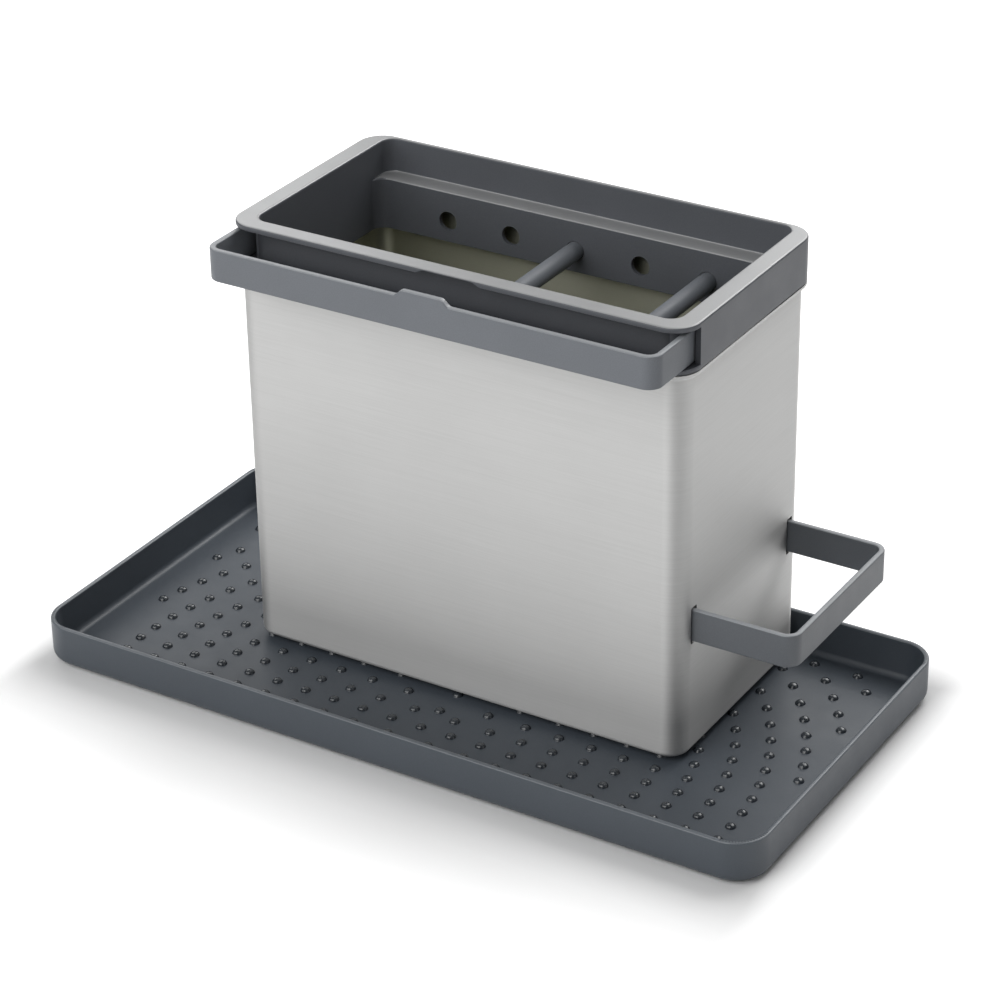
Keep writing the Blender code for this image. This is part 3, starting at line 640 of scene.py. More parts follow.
@dataclass
class DripTray:
    """The tray: one moulding with a rounded wall, a drain band along the back, domes and feet."""

    finishes: Finishes
    wall: float = 2.0 * MM
    draft: float = 1.0 * MM
    floor: float = 2.2 * MM
    corner: float = 14.0 * MM
    lower_edge: float = 4.0 * MM
    top_edge: float = 0.75 * MM
    fillet: float = 2.4 * MM
    band: float = 20.0 * MM
    band_fall: float = 0.9 * MM
    dome_radius: float = 2.05 * MM
    dome_height: float = 1.4 * MM
    dome_foot: float = 0.12
    dome_flare: float = 1.08
    dome_facets: tuple[int, int] = (18, 10)
    row_pitch: float = 9.8 * MM
    ring_pitch: float = 13.4 * MM
    ring_x: float = 1.6 * MM
    ring_from_front: float = 30.5 * MM
    margins: Point = (15.8 * MM, 18.0 * MM, 10.5 * MM)

    def __post_init__(self) -> None:
        """Reads the tray's box."""
        self.low, self.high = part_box("tray")
        self.floor_z = self.low.z + self.floor
        self.band_y = self.high.y - self.wall - self.band

    def build(self) -> None:
        """Builds the moulding, the domes and the feet."""
        self.moulding()
        self.domes()
        RubberFeet(self.finishes, "tray", Body.TRAY).build()

    def moulding(self) -> None:
        """Builds the tray from a block: corners, hollow, fillet, rounded rim and drain band."""
        tray = rounded_block("tray_moulding", self.low, self.high, self.corner, 18)
        round_edges(tray, self.lower_edge, 6, level(self.low.z))
        with editing(tray):
            pick(Kind.FACE, looks((0, 0, 1), self.high.z))
            bpy.ops.mesh.inset(thickness=self.wall)
            bpy.ops.mesh.inset(thickness=self.draft, depth=self.floor_z - self.high.z)
        round_edges(tray, self.fillet, 6, level(self.floor_z))
        round_edges(tray, self.top_edge, 4, level(self.high.z))
        with editing(tray):
            inside = self.floor_z + self.fillet + HAIR
            pick(Kind.FACE, lambda face: face.normal.z > 0.01 and face.calc_center_median().z < inside)
            bpy.ops.mesh.bisect(plane_co=(0, self.band_y, 0), plane_no=(0, 1, 0))
            pick(Kind.POINT, lambda vert: vert.co.z < inside and self.in_band(vert.co))
            turn = math.atan(self.band_fall / self.band)
            hinge = (0, self.band_y, self.floor_z)
            bpy.ops.transform.rotate(value=turn, orient_axis="X", center_override=hinge)
            pick(Kind.EDGE, lambda edge: all(abs(vert.co.y - self.band_y) < HAIR for vert in edge.verts))
            bpy.ops.mesh.mark_sharp()
        smooth(tray)
        dress(tray, [self.finishes.tray, self.finishes.tray_top_highlight], "tray_plastic", Body.TRAY, "tray")
        # The upward faces of the tray's rounded top edge get the painted highlight.
        edge_z = self.high.z - self.top_edge
        paint(tray, 1, lambda face: face.normal.z > 0.4 and face.calc_center_median().z > edge_z)

    def in_band(self, at: Vector) -> bool:
        """True for a place behind the band's front, inside the wall and above the floor's underside."""
        gap = self.wall + HAIR
        across = self.low.x + gap < at.x < self.high.x - gap
        along = self.band_y + HAIR < at.y < self.high.y - gap
        return across and along and at.z > self.floor_z - self.floor / 2

    def dome_places(self) -> list[Point]:
        """Finds the places of the domes, where rows cross rings about a point near the front.

        Returns:
            The places, on the floor.
        """
        side, front, back = self.margins
        centre_y = self.low.y + self.ring_from_front
        first = math.ceil((self.low.y + front - centre_y) / self.row_pitch)
        last = math.floor((self.high.y - back - centre_y) / self.row_pitch)
        rings = math.ceil(math.hypot(self.high.x, self.high.y - self.low.y) / self.ring_pitch)
        flat = [(self.ring_x, centre_y)]
        for row in range(first, last + 1):
            rise = row * self.row_pitch
            for ring in range(1, rings):
                span = (ring * self.ring_pitch) ** 2 - rise**2
                for sign in (-1, 1) if span > 0 else ():
                    x = self.ring_x + sign * math.sqrt(span)
                    if abs(x) <= self.high.x - side:
                        flat.append((x, centre_y + rise))
        for ring in range(1, rings):
            y = centre_y + ring * self.ring_pitch
            crowded = any(math.hypot(self.ring_x - px, y - py) < self.row_pitch / 2 for px, py in flat)
            if y <= self.high.y - back and not crowded:
                flat.append((self.ring_x, y))
        return [(x, y, self.floor_at(y)) for x, y in flat]

    def floor_at(self, y: float) -> float:
        """Height of the floor, which falls along the drain band."""
        return self.floor_z - self.band_fall * min(1.0, max(0.0, y - self.band_y) / self.band)

    def domes(self) -> None:
        """Builds one dome with a flared foot, and sets a copy at each place."""
        bpy.ops.object.select_all(action="DESELECT")
        squash = (1, 1, self.dome_height / self.dome_radius)
        around, rise = self.dome_facets
        bpy.ops.mesh.primitive_uv_sphere_add(
            segments=around, ring_count=rise, radius=self.dome_radius, scale=squash
        )
        dome = take("dome")
        foot = self.dome_foot * self.dome_height
        with editing(dome):
            bpy.ops.mesh.select_all(action="SELECT")
            bpy.ops.mesh.bisect(plane_co=(0, 0, foot), plane_no=(0, 0, -1), clear_outer=True)
            pick(Kind.EDGE, level(foot))
            bpy.ops.mesh.extrude_region_move(TRANSFORM_OT_translate={"value": (0, 0, -foot - NEAR)})
            bpy.ops.transform.resize(value=(self.dome_flare, self.dome_flare, 1))
        domes = copy_to(dome, "tray_domes", self.dome_places())
        smooth(domes, 80, flats=False)
        # The domes get the darker copy of the tray's plastic, which is painted shade.
        dress(domes, [self.finishes.dome], "tray_plastic", Body.TRAY)


@dataclass
class RubberFeet:
    """Four rubber feet, each with a rounded sole and a shallow cup in it."""

    finishes: Finishes
    under: str
    body: Body
    sole: float = 0.32
    slope: float = 0.1
    cup: float = 0.2 * MM
    edge: float = 0.25 * MM

    def build(self) -> None:
        """Builds the four feet."""
        for corner in ("front_left", "front_right", "back_left", "back_right"):
            self.foot(f"{self.under}_foot_{corner}")

    def foot(self, node: str) -> None:
        """Builds one foot.

        Args:
            node: The node that it stands for.
        """
        low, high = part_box(node)
        radius = (high.x - low.x) / 2
        foot = add_disc(f"{node}_pad", radius, high.z - low.z, (low + high) / 2, Along.Z, 48)
        with editing(foot):
            pick(Kind.FACE, looks((0, 0, -1)))
            bpy.ops.mesh.inset(thickness=radius * self.sole)
            bpy.ops.mesh.inset(thickness=radius * self.slope, depth=-self.cup)
        round_edges(foot, self.edge, 3, lambda edge: level(low.z)(edge) and edge.calc_face_angle(0.0) > 1)
        smooth(foot)
        dress(foot, [self.finishes.rubber], "rubber", self.body, node)


@dataclass
class Tower:
    """The tower: a sleeve of sheet steel with its base plate and feet, and the guides of the side rail."""

    finishes: Finishes
    sheet: float = 0.8 * MM
    corner: float = 8.6 * MM
    lower_edge: float = 2.5 * MM
    hem: float = 8.0 * MM
    flare: float = 2.0 * MM
    flare_height: float = 3.0 * MM
    flare_edge: float = 0.8 * MM
    flare_steps: int = 5
    slot_gap: float = 1.0 * MM
    slot_round: float = 0.7 * MM
    slot_depth: float = 3.0 * MM
    rail_leg: float = 2.3 * MM
    base_corner: float = 6.6 * MM
    base_rim: float = 5.0 * MM
    base_edge: float = 0.4 * MM
    groove: tuple[float, float] = (0.8 * MM, 0.6 * MM)
    guide_edge: float = 0.35 * MM

    def __post_init__(self) -> None:
        """Reads the sleeve's box."""
        self.low, self.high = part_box("tower_shell")

    def build(self) -> None:
        """Builds the sleeve, the base plate, the feet and the guides."""
        self.sleeve()
        self.base()
        RubberFeet(self.finishes, "tower", Body.TOWER).build()
        for name in ("front", "back"):
            self.guide(name)

    def sleeve(self) -> None:
        """Builds the sleeve from its flared edge down, then gives it its thickness and slots."""
        top = (self.low.x, self.low.y, self.high.z - self.flare_edge)
        sleeve = rounded_block("tower_sleeve", top, self.high, self.corner + self.flare, 16)
        steps = self.flare_steps
        fall = (self.flare_height - self.flare_edge) / steps
        shares = [(1 - math.cos(math.pi * step / steps)) / 2 for step in range(steps + 1)]
        with editing(sleeve):
            pick(Kind.FACE, looks((0, 0, -1)))
            for near, far in zip(shares, shares[1:]):
                bpy.ops.mesh.inset(thickness=self.flare * (far - near), depth=fall)
            wall = self.high.z - self.flare_height - self.low.z
            bpy.ops.mesh.extrude_region_move(TRANSFORM_OT_translate={"value": (0, 0, -wall)})
        round_edges(sleeve, self.lower_edge, 6, level(self.low.z))
        with editing(sleeve):
            pick(Kind.FACE, looks((0, 0, -1), -self.low.z))
            bpy.ops.mesh.inset(thickness=self.hem - self.lower_edge)
            bpy.ops.mesh.delete(type="FACE")
            pick(Kind.FACE, looks((0, 0, 1), self.high.z))
            bpy.ops.mesh.delete(type="FACE")
        wall = {"thickness": self.sheet, "offset": -1, "use_even_offset": True, "use_quality_normals": True}
        shape(sleeve, "SOLIDIFY", **wall)
        for sign in (-1, 1):
            use(sleeve, self.slot(sign))
        smooth(sleeve, 40)
        steels = [self.finishes.steel, self.finishes.inner_steel]
        dress(sleeve, steels, "satin_steel", Body.TOWER, "tower_shell")
        paint(sleeve, 1, self.faces_in)

    def faces_in(self, face: Face) -> bool:
        """True for a face of the sleeve's inside."""
        at = face.calc_center_median()
        away = (self.low + self.high) / 2 - at
        inward = away.x * face.normal.x + away.y * face.normal.y > 0
        return inward and abs(face.normal.z) < 0.9 and at.z < self.high.z - 2 * NEAR

    def slot(self, sign: int) -> Object:
        """Builds the cutter of one slot in the sleeve's right face.

        Args:
            sign: -1 for the front slot and 1 for the back one.

        Returns:
            The cutter, with rounded corners.
        """
        low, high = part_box("side_rail")
        gap, leg = self.slot_gap, self.rail_leg
        rows = (low.y - gap, low.y + leg + gap) if sign < 0 else (high.y - leg - gap, high.y + gap)
        near, far = (self.high.x - self.flare + side * self.slot_depth for side in (-1, 1))
        cutter = add_block("slot", (near, rows[0], low.z - gap), (far, rows[1], high.z + gap))
        round_edges(cutter, self.slot_round, 3, lambda edge: runs_along(edge, 0))
        return cutter

    def base(self) -> None:
        """Builds the base plate with a shallow rim groove."""
        low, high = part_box("tower_base")
        plate = rounded_block("tower_base_plate", low, high, self.base_corner)
        width, depth = self.groove
        with editing(plate):
            pick(Kind.FACE, looks((0, 0, 1)))
            bpy.ops.mesh.inset(thickness=self.base_rim)
            bpy.ops.mesh.inset(thickness=width, depth=-depth)
        round_edges(plate, self.base_edge, 2, lambda edge: level(high.z)(edge) or level(low.z)(edge))
        smooth(plate)
        dress(plate, [self.finishes.hidden], "inner_plastic", Body.TOWER, "tower_base")

    def guide(self, name: str) -> None:
        """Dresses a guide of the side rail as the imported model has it, with its edges eased.

        Args:
            name: Which guide it is.
        """
        node = f"side_rail_guide_{name}"
        guide = put(f"guide_block_{name}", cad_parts[node].data.copy())
        with editing(guide):
            bpy.ops.mesh.select_all(action="SELECT")
            bpy.ops.mesh.remove_doubles(threshold=HAIR)
            bpy.ops.mesh.dissolve_limited(angle_limit=math.radians(2))
        round_edges(guide, self.guide_edge, 2, sharp)
        smooth(guide)
        dress(guide, [self.finishes.hidden], "inner_plastic", Body.TOWER, node)


@dataclass
class Collar:
    """The collar on the tower: rim, channels for the front rail, ledge, and the wall with its holes."""

    finishes: Finishes
    corner: float = 10.6 * MM
    lip: float = 2.1 * MM
    flange: float = 1.8 * MM
    band: float = 2.2 * MM
    rim_side: float = 8.2 * MM
    rim_front: float = 7.7 * MM
    wall: float = 1.8 * MM
    back_wall: float = 2.0 * MM
    opening_corner: float = 5.5 * MM
    ledge_depth: float = 14.1 * MM
    ledge_width: float = 8.3 * MM
    ledge_thickness: float = 2.0 * MM
    height: float = 18.5 * MM
    skirt_wall: float = 1.6 * MM
    skirt_gap: float = 1.2 * MM
    overhang: float = 2.0 * MM
    insert_depth: float = 35.6 * MM
    skirt_depth: float = 4.0 * MM
    pocket_gap: float = 0.2 * MM
    channel_back: float = 11.0 * MM
    core_back: float = 10.0 * MM
    notch: Point = (27.8 * MM, 21.5 * MM, 1.6 * MM)
    notch_depth: float = 2.9 * MM
    rib: Point = (2.8 * MM, 0.9 * MM, 0.5 * MM)
    holes: int = 5
    hole_radius: float = 4.0 * MM
    hole_pitch: float = 29.0 * MM
    hole_rise: float = 9.1 * MM
    top_edge: float = 0.9 * MM
    foot_edge: float = 0.45 * MM
    ledge_edge: float = 0.7 * MM
    window_edge: float = 0.35 * MM
    insert_edge: float = 0.5 * MM
    notch_edge: float = 1.0 * MM
    bar_edge: float = 0.7 * MM
    over: float = 2.0 * MM

    def __post_init__(self) -> None:
        """Works out the collar's heights and plan from its box."""
        self.low, self.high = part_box("collar")
        self.top = self.high.z
        self.foot = self.top - self.height
        self.insert_z = self.top - self.insert_depth
        self.skirt_z = self.foot - self.skirt_depth
        self.channel_z = self.foot + self.flange
        self.lip_z = self.top - self.lip
        self.ledge_z = self.top - self.ledge_depth
        self.open_low = Vector((self.low.x + self.rim_side, self.low.y + self.rim_front))
        back = self.back_wall + self.ledge_width
        self.open_high = Vector((self.high.x - self.rim_side, self.high.y - back))
        self.middle = (self.low + self.high) / 2

    def build(self) -> None:
        """Builds the collar and its two bars."""
        self.moulding()
        self.bar(Body.MIDDLE_BAR)
        self.bar(Body.RIGHT_BAR)

    def block(self, name: str, grow: float, low_z: float, high_z: float, back: float = 0.0) -> Object:
        """Adds a rounded block that follows the opening in plan.

        Args:
            name: The block's name.
            grow: How far it reaches past the opening all round.
            low_z: Its bottom.
            high_z: Its top.
            back: How much further it reaches at the back.

        Returns:
            The block.
        """
        low = (self.open_low.x - grow, self.open_low.y - grow, low_z)
        high = (self.open_high.x + grow, self.open_high.y + grow + back, high_z)
        return rounded_block(name, low, high, self.opening_corner + grow, 10)

    def moulding(self) -> None:
        """Builds the collar: the outer block, what is joined to it and cut from it, and its soft edges."""
        low = (self.low.x, self.low.y, self.foot)
        collar = rounded_block("collar_moulding", low, self.high, self.corner, 14)
        round_edges(collar, self.top_edge, 4, level(self.top))
        round_edges(collar, self.foot_edge, 2, level(self.foot))
        use(collar, self.skirt(), Way.ADD)
        use(collar, self.block("insert", self.wall, self.insert_z, self.channel_z), Way.ADD)
        use(collar, self.block("opening", 0, self.insert_z - self.over, self.top + self.over))
        use(collar, self.block("step", 0, self.ledge_z, self.top + self.over, self.ledge_width))
        use(collar, self.pocket())
        for channel in self.channels():
            use(collar, channel)
        for side in (-1, 1):
            use(collar, self.stop_rib(side), Way.ADD)
        use(collar, self.notch_cutter())
        for index in range(self.holes):
            use(collar, self.hole(index))
        self.soften(collar)
        smooth(collar, 40)
        materials = [self.finishes.collar, self.finishes.rim, self.finishes.recess_shade]
        dress(collar, materials, "collar_plastic", Body.COLLAR, "collar")
        # The rim's top and the ledge's top get the painted sheen.
        paint(collar, 1, self.catches_light)
        # The channels and the open front get the painted shade.
        paint(collar, 2, self.in_channel)

    def soften(self, collar: Object) -> None:
        """Rounds the collar's edges group by group, the most visible first."""
        round_edges(collar, self.top_edge, 4, sharp_at(self.top))
        round_edges(collar, self.ledge_edge, 3, sharp_at(self.ledge_z))
        round_edges(collar, self.window_edge, 3, self.in_window)
        round_edges(collar, self.insert_edge, 2, sharp_at(self.insert_z))

    def in_window(self, edge: Edge) -> bool:
        """True for an edge of the open front, where it breaks through the collar's outside."""
        heights = [vert.co.z for vert in edge.verts]
        within = min(heights) >= self.channel_z - HAIR and max(heights) <= self.lip_z + HAIR
        return within and sharp(edge) and all(self.outside(vert.co) for vert in edge.verts)

    def catches_light(self, face: Face) -> bool:
        """True for a face of the rim's top or of the ledge's top, which gets a painted sheen."""
        at = face.calc_center_median()
        on_ledge = at.y > self.open_high.y - HAIR and abs(at.z - self.ledge_z) < self.top_edge
        return face.normal.z > 0.6 and (at.z > self.lip_z or on_ledge)

    def in_channel(self, face: Face) -> bool:
        """True for a face inside the channels and the open front, which gets painted shade."""
        at = face.calc_center_median()
        if not self.channel_z - HAIR < at.z < self.lip_z + HAIR or self.outside(at):
            return False
        inner = self.wall / 2
        across = self.open_low.x - inner < at.x < self.open_high.x + inner
        return not (across and self.open_low.y - inner < at.y)

    def outside(self, at: Vector) -> bool:
        """True for a place on the collar's outer outline."""
        half = (self.high - self.low) / 2
        x, y = (abs(at[axis] - self.middle[axis]) - half[axis] for axis in range(2))
        if min(x, y) > -self.corner:
            return abs(math.hypot(x + self.corner, y + self.corner) - self.corner) < NEAR
        return max(x, y) > -NEAR

    def skirt(self) -> Object:
        """Builds the ring that plugs into the sleeve.

        Returns:
            The ring.
        """
        inset = self.overhang + self.skirt_gap
        low = Vector((self.low.x + inset, self.low.y + inset, self.skirt_z))
        high = Vector((self.high.x - inset, self.high.y - inset, self.foot + self.flange / 2))
        ring = rounded_block("skirt", low, high, self.corner - inset, 8)
        edge = Vector((self.skirt_wall, self.skirt_wall, -self.over))
        hollow = rounded_block("hollow", low + edge, high - edge, self.corner - inset - self.skirt_wall, 8)
        use(ring, hollow)
        return ring

    def pocket(self) -> Object:
        """Builds the cutter that hollows the ledge from below."""
        back = self.high.y - self.overhang - self.skirt_gap - self.skirt_wall - self.pocket_gap
        side = self.opening_corner
        low = (self.open_low.x + side, self.open_high.y + self.wall, self.skirt_z - self.over)
        high = (self.open_high.x - side, back, self.ledge_z - self.ledge_thickness)
        return add_block("pocket", low, high)

    def channels(self) -> list[Object]:
        """Builds the cutters of the side channels and of the open front, clear of the inner wall.

        Returns:
            The two cutters.
        """
        front = self.low.y - self.over
        spans = {"channel_sides": (-self.band, self.high.y - self.channel_back)}
        spans["channel_front"] = (self.over, self.low.y + self.corner)
        cutters = []
        for name, (past, back) in spans.items():
            low = (self.low.x - past, front, self.channel_z)
            cutter = add_block(name, low, (self.high.x + past, back, self.lip_z))
            reach = (self.channel_z - self.over, self.lip_z + self.over)
            use(cutter, self.block("core", self.wall, *reach, self.core_back))
            cutters.append(cutter)
        return cutters

    def stop_rib(self, side: int) -> Object:
        """Builds the rib under the roof of one channel, which stops a shoe of the front rail.

        Args:
            side: -1 for the left channel and 1 for the right one.

        Returns:
            The rib.
        """
        length, drop, root = self.rib
        leg_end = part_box("front_rail")[1].y
        reaches = (self.open_high.x + self.wall - root, self.high.x - self.band + root)
        across = sorted(self.middle.x + side * (reach - self.middle.x) for reach in reaches)
        low = (across[0], leg_end - length, self.lip_z - drop)
        return add_block("stop_rib", low, (across[1], leg_end, self.lip_z + root))

    def notch_cutter(self) -> Object:
        """Builds the cutter of the notch in the lip, narrower at its top.

        Returns:
            The cutter.
        """
        wide, narrow, rise = self.notch
        x, front, top = self.middle.x, self.low.y, self.lip_z + rise
        low = (x - wide / 2, front - self.over, self.lip_z - self.over)
        cutter = add_block("notch", low, (x + wide / 2, front + self.notch_depth, top))
        with editing(cutter):
            bpy.ops.mesh.select_all(action="SELECT")
            bpy.ops.mesh.bisect(plane_co=(0, 0, self.lip_z), plane_no=(0, 0, 1))
            pick(Kind.POINT, lambda vert: vert.co.z > self.lip_z + rise / 2)
            bpy.ops.transform.resize(value=(narrow / wide, 1, 1), center_override=(x, front, self.lip_z))
        round_edges(cutter, self.notch_edge, 4, lambda edge: level(top)(edge) and runs_along(edge, 1))
        return cutter

    def hole(self, index: int) -> Object:
        """Builds the cutter of one pair of holes.

        Args:
            index: Which pair it is, from the left.

        Returns:
            The cutter.
        """
        x = self.middle.x + (index - self.holes // 2) * self.hole_pitch
        place = (x, (self.open_low.y + self.open_high.y) / 2, self.insert_z + self.hole_rise)
        length = self.open_high.y - self.open_low.y + 2 * (self.wall + self.over)
        return add_disc("hole", self.hole_radius, length, place, Along.Y, 40)

    def bar(self, body: Body) -> None:
        """Builds a divider bar with rounded ends.

        Args:
            body: The body that it rides on, which its node shares the name of.
        """
        node = body.value
        low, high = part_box(node)
        radius = (high.z - low.z) / 2
        bar = add_disc(f"{node}_rod", radius, high.y - low.y, (low + high) / 2, Along.Y, 48)
        round_edges(bar, self.bar_edge, 3, sharp)
        smooth(bar)
        dress(bar, [self.finishes.rail], "collar_plastic", body, node)


@dataclass
class Rail:
    """A U-shaped flat bar that slides in and out, with its stop shoes."""

    finishes: Finishes
    body: Body
    shoes: tuple[str, str]
    thickness: float
    corner: float = 6.0 * MM
    edge: float = 0.6 * MM
    tab: Point | None = None
    tab_edge: float = 1.1 * MM
    shoe_margin: float = 2.4 * MM
    shoe_window: tuple[float, float] = (0.3 * MM, 0.5 * MM)
    shoe_edge: float = 0.3 * MM

    def __post_init__(self) -> None:
        """Reads the bar's box, and finds the side that its legs open to and the tab's edges."""
        self.node = self.body.value
        self.low, self.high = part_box(self.node)
        self.is_front = self.body is Body.FRONT_RAIL
        self.opens = Vector((0, 1, 0)) if self.is_front else Vector((-1, 0, 0))
        self.outer = max(-self.low.dot(self.opens), -self.high.dot(self.opens))
        wide, narrow, rise = self.tab or (0.0, 0.0, 0.0)
        self.top = self.high.z - rise
        self.middle = (self.low.x + self.high.x) / 2
        self.tab_edges = [self.middle + x / 2 for x in (-wide, -narrow, narrow, wide)]

    def build(self) -> None:
        """Builds the bar and its shoes."""
        self.bar()
        for node in self.shoes:
            self.shoe(node)

    def bar(self) -> None:
        """Builds the bar: a block's outside without its top, foot and back, then its tab and thickness."""
        bar = add_block(f"{self.node}_bar", self.low, (self.high.x, self.high.y, self.top))
        round_edges(bar, self.corner, 12, lambda edge: upright(edge) and self.is_outer(edge))
        with editing(bar):
            pick(Kind.FACE, lambda face: abs(face.normal.z) > 0.9 or face.normal.dot(self.opens) > 0.9)
            bpy.ops.mesh.delete(type="FACE")
        if self.tab:
            self.raise_tab(bar)
        shape(bar, "SOLIDIFY", thickness=self.thickness, offset=-1, use_even_offset=True)
        if self.tab:
            round_edges(bar, self.tab_edge, 4, self.crosses_tab)
        round_edges(bar, self.edge, 3, sharp)
        smooth(bar)
        # The side rail gets the darker copy of the rail's plastic, which is painted shade.
        face = self.finishes.rail if self.is_front else self.finishes.side_rail
        dress(bar, [face, self.finishes.rail_top_highlight], "rail_plastic", self.body, self.node)
        # The bar's upward faces get the painted highlight.
        paint(bar, 1, lambda face: face.normal.z > 0.6)

    def is_outer(self, edge: Edge) -> bool:
        """True for an edge on the side that the bar's legs point away from."""
        return all(abs(-vert.co.dot(self.opens) - self.outer) < HAIR for vert in edge.verts)

    def raise_tab(self, bar: Object) -> None:
        """Raises the finger tab from the bar's top edge."""
        _, narrow, rise = self.tab
        with editing(bar):
            for x in self.tab_edges:
                bpy.ops.mesh.select_all(action="SELECT")
                bpy.ops.mesh.bisect(plane_co=(x, 0, 0), plane_no=(1, 0, 0))
            pick(Kind.POINT, lambda vert: self.on_tab(vert.co, narrow))
            bpy.ops.transform.translate(value=(0, 0, rise))

    def on_tab(self, at: Vector, width: float) -> bool:
        """True for a place on the bar's top edge and within the tab's width."""
        return abs(at.x - self.middle) < width / 2 + HAIR and at.z > self.top - HAIR

    def crosses_tab(self, edge: Edge) -> bool:
        """True for an edge across the bar's top at one of the tab's corners."""
        at = edge.verts[0].co
        corner = any(abs(at.x - x) < HAIR for x in self.tab_edges)
        return corner and runs_along(edge, 1) and at.z > self.top - HAIR

    def shoe(self, node: str) -> None:
        """Builds a stop shoe with eased edges and a snap window in its sides.

        Args:
            node: The node that it stands for.
        """
        low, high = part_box(node)
        shoe = add_block(f"{node}_shoe", low, high)
        way = Vector((1, 0, 0) if self.is_front else (0, 1, 0))
        slope, depth = self.shoe_window
        with editing(shoe):
            pick(Kind.FACE, lambda face: abs(face.normal.dot(way)) > 0.99)
            bpy.ops.mesh.inset(thickness=self.shoe_margin, use_individual=True)
            bpy.ops.mesh.inset(thickness=slope, depth=-depth, use_individual=True)
        round_edges(shoe, self.shoe_edge, 2, lambda edge: sharp(edge) and self.on_box(edge, low, high))
        smooth(shoe)
        dress(shoe, [self.finishes.hidden], "inner_plastic", self.body, node)

    def on_box(self, edge: Edge, low: Vector, high: Vector) -> bool:
        """True for an edge between two sides of a box."""
        walls = [(axis, corner[axis]) for axis in range(3) for corner in (low, high)]
        return sum(all(abs(vert.co[axis] - at) < HAIR for vert in edge.verts) for axis, at in walls) == 2


@dataclass(frozen=True)
class Lamp:
    """A square soft lamp that looks at the organizer."""

    name: str
    place: Point
    side: float
    glow: float

    def build(self, target: Vector) -> None:
        """Adds the lamp. Its glow is 1 where its face is as bright as white paper.

        Args:
            target: The point that it looks at.
        """
        data = bpy.data.lights.new(self.name, "AREA")
        data.size = self.side
        data.energy = self.glow * math.pi * self.side**2
        lamp = put(self.name, data)
        lamp.location = self.place
        lamp.rotation_euler = (Vector(self.place) - target).to_track_quat("Z", "Y").to_euler()


LAMPS = (
    Lamp("left_back_lamp", (-0.70, 0.51, 0.64), 0.6, 1.9),
    Lamp("back_lamp", (-0.06, 0.90, 0.62), 0.6, 2.4),
    Lamp("high_back_lamp", (0.35, 1.1, 1.5), 1.2, 3.8),
    Lamp("left_front_lamp", (-1.2, -1.2, 1.0), 1.2, 2.2),
    Lamp("front_lamp", (-0.1, -1.7, 0.8), 1.2, 2.2),
    Lamp("high_front_lamp", (-0.1, -1.3, 1.7), 1.2, 2.6),
    Lamp("right_lamp", (1.4, 0.3, 0.6), 0.9, 0.7),
)


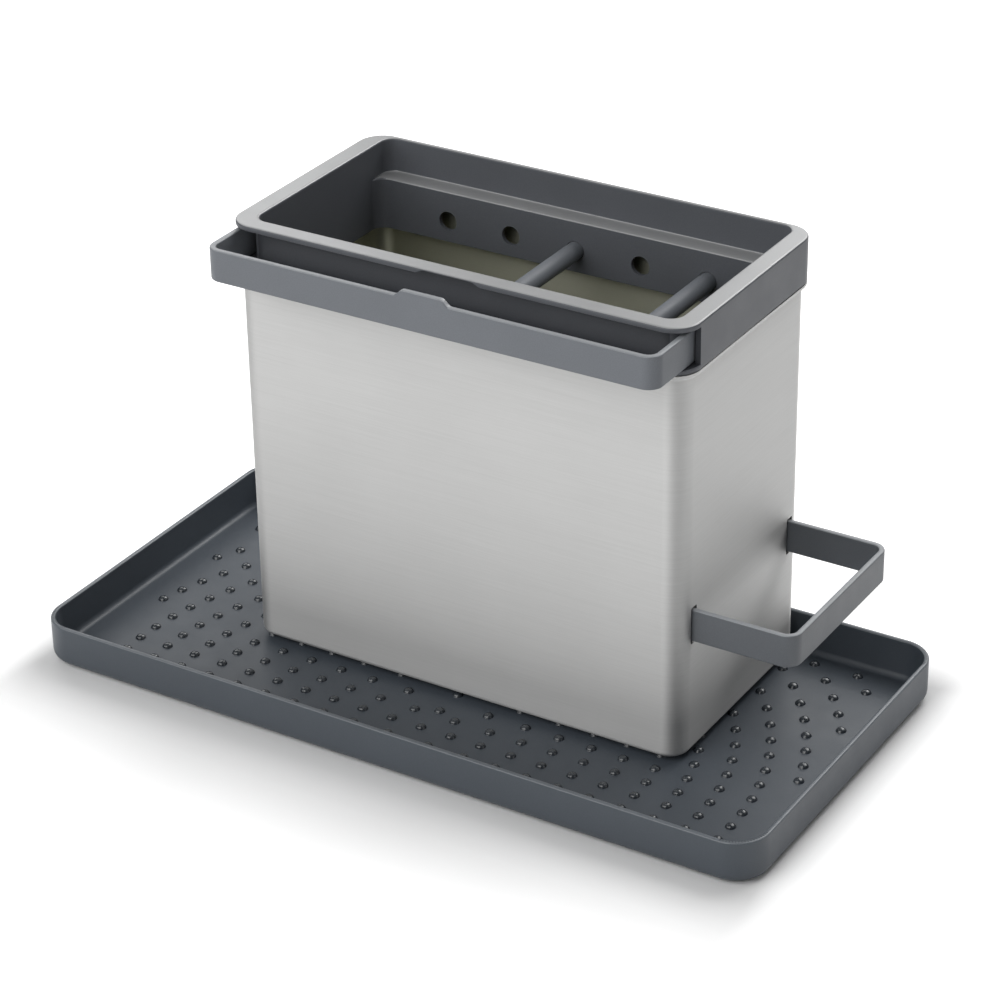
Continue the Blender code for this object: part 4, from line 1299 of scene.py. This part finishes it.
@dataclass
class Studio:
    """The camera, the lamps, the pale floor and the plain grey room."""

    azimuth: float = 31.75
    elevation: float = 28.58
    roll: float = -0.93
    distance: float = 1235.55 * MM
    target: Vector = field(default_factory=lambda: Vector((8.63, 0.0, 81.17)) * MM)
    lens: float = 116.2
    sensor: float = 36.0
    room: float = 0.1
    floor_side: float = 40.0
    floor_colour: float = 0.77
    floor_roughness: float = 0.9
    glow_far: float = 0.6
    # How far the painted shade around the tray reaches at the sides, in front and behind.
    painted_shade_reach: Point = (20.0 * MM, 72.0 * MM, 24.0 * MM)

    def build(self) -> None:
        """Sets up the studio."""
        self.camera()
        self.walls()
        self.ground()
        for lamp in LAMPS:
            lamp.build(self.target)
        bpy.context.scene.view_settings.view_transform = "Standard"

    def camera(self) -> None:
        """Adds the camera at the photograph's angle."""
        data = bpy.data.cameras.new("camera")
        data.lens = self.lens
        data.sensor_width = self.sensor
        turn, rise, roll = (math.radians(angle) for angle in (self.azimuth, self.elevation, self.roll))
        back = Vector((math.sin(turn) * math.cos(rise), -math.cos(turn) * math.cos(rise), math.sin(rise)))
        right = Vector((math.cos(turn), math.sin(turn), 0))
        up = back.cross(right)
        across = math.cos(roll) * right + math.sin(roll) * up
        tall = math.cos(roll) * up - math.sin(roll) * right
        place = Matrix((across, tall, back)).transposed().to_4x4()
        place.translation = self.target + back * self.distance
        camera = put("camera", data)
        camera.matrix_world = place
        bpy.context.scene.camera = camera

    def walls(self) -> None:
        """Makes the room around a plain grey that lights from all sides."""
        world = bpy.data.worlds.new("room")
        bpy.context.scene.world = world
        world.use_nodes = True
        background = world.node_tree.nodes["Background"].inputs
        background["Color"].default_value = (1, 1, 1, 1)
        background["Strength"].default_value = self.room

    def ground(self) -> None:
        """Adds the pale floor, which glows white away from the organizer and keeps its shadow near it; near
        the tray the glow fades out, a painted shade that reaches furthest in front.
        """
        bpy.ops.object.select_all(action="DESELECT")
        bpy.ops.mesh.primitive_plane_add(size=self.floor_side)
        floor = take("floor")
        with editing(floor):
            bpy.ops.mesh.select_all(action="SELECT")
            bpy.ops.mesh.subdivide(number_cuts=3)
        board = Board("pale_floor")
        glow = board.sum("MULTIPLY", self.seen(board), self.away(board))
        board.feed(board.shader, {"Emission Color": (1, 1, 1, 1), "Emission Strength": glow})
        colour = (*(self.floor_colour,) * 3, 1)
        board.feed(board.shader, {"Base Color": colour, "Roughness": self.floor_roughness})
        floor.data.materials.append(board.material)

    def seen(self, board: Board) -> Socket:
        """Finds the rays that see the glow: camera, glossy and transmission rays.

        Args:
            board: The floor's nodes.

        Returns:
            1 for such a ray and 0 for any other.
        """
        path = board.add("ShaderNodeLightPath").outputs
        shiny = board.sum("MAXIMUM", path["Is Glossy Ray"], path["Is Transmission Ray"])
        return board.sum("MAXIMUM", path["Is Camera Ray"], shiny)

    def away(self, board: Board) -> Socket:
        """Makes the glow's strength, which rises with the distance from the tray, so that a painted shade
        lies around it.

        Args:
            board: The floor's nodes.

        Returns:
            The strength.
        """
        low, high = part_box("tray")
        across, along, _ = board.add("ShaderNodeSeparateXYZ", {"Vector": board.place}).outputs
        beyond = ((board.sum("ABSOLUTE", across), high.x), (low.y, along), (along, high.y))
        side, front, back = (
            board.sum("DIVIDE", board.sum("SUBTRACT", *ends), reach)
            for ends, reach in zip(beyond, self.painted_shade_reach)
        )
        shares = (side, board.sum("MAXIMUM", front, back))
        past = {axis: board.sum("MAXIMUM", share, 0.0) for axis, share in zip("XY", shares)}
        gaps = board.add("ShaderNodeCombineXYZ", past).outputs["Vector"]
        length = board.add("ShaderNodeVectorMath", {0: gaps}, operation="LENGTH").outputs["Value"]
        rise = {"Value": length, "To Max": self.glow_far}
        return board.add("ShaderNodeMapRange", rise, clamp=True).outputs["Result"]


def main() -> None:
    """Builds the organizer from the tray up, then the studio."""
    logging.basicConfig(level=logging.INFO, format="%(message)s")
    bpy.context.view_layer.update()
    finishes = Finishes()
    DripTray(finishes).build()
    Tower(finishes).build()
    Collar(finishes).build()
    shoes = ("front_rail_stop_left", "front_rail_stop_right")
    tab = (22.4 * MM, 17.2 * MM, 2.6 * MM)
    Rail(finishes, Body.FRONT_RAIL, shoes, thickness=2.5 * MM, tab=tab).build()
    shoes = ("side_rail_stop_front", "side_rail_stop_back")
    Rail(finishes, Body.SIDE_RAIL, shoes, thickness=2.3 * MM).build()
    Studio().build()


if __name__ == "__main__":
    main()
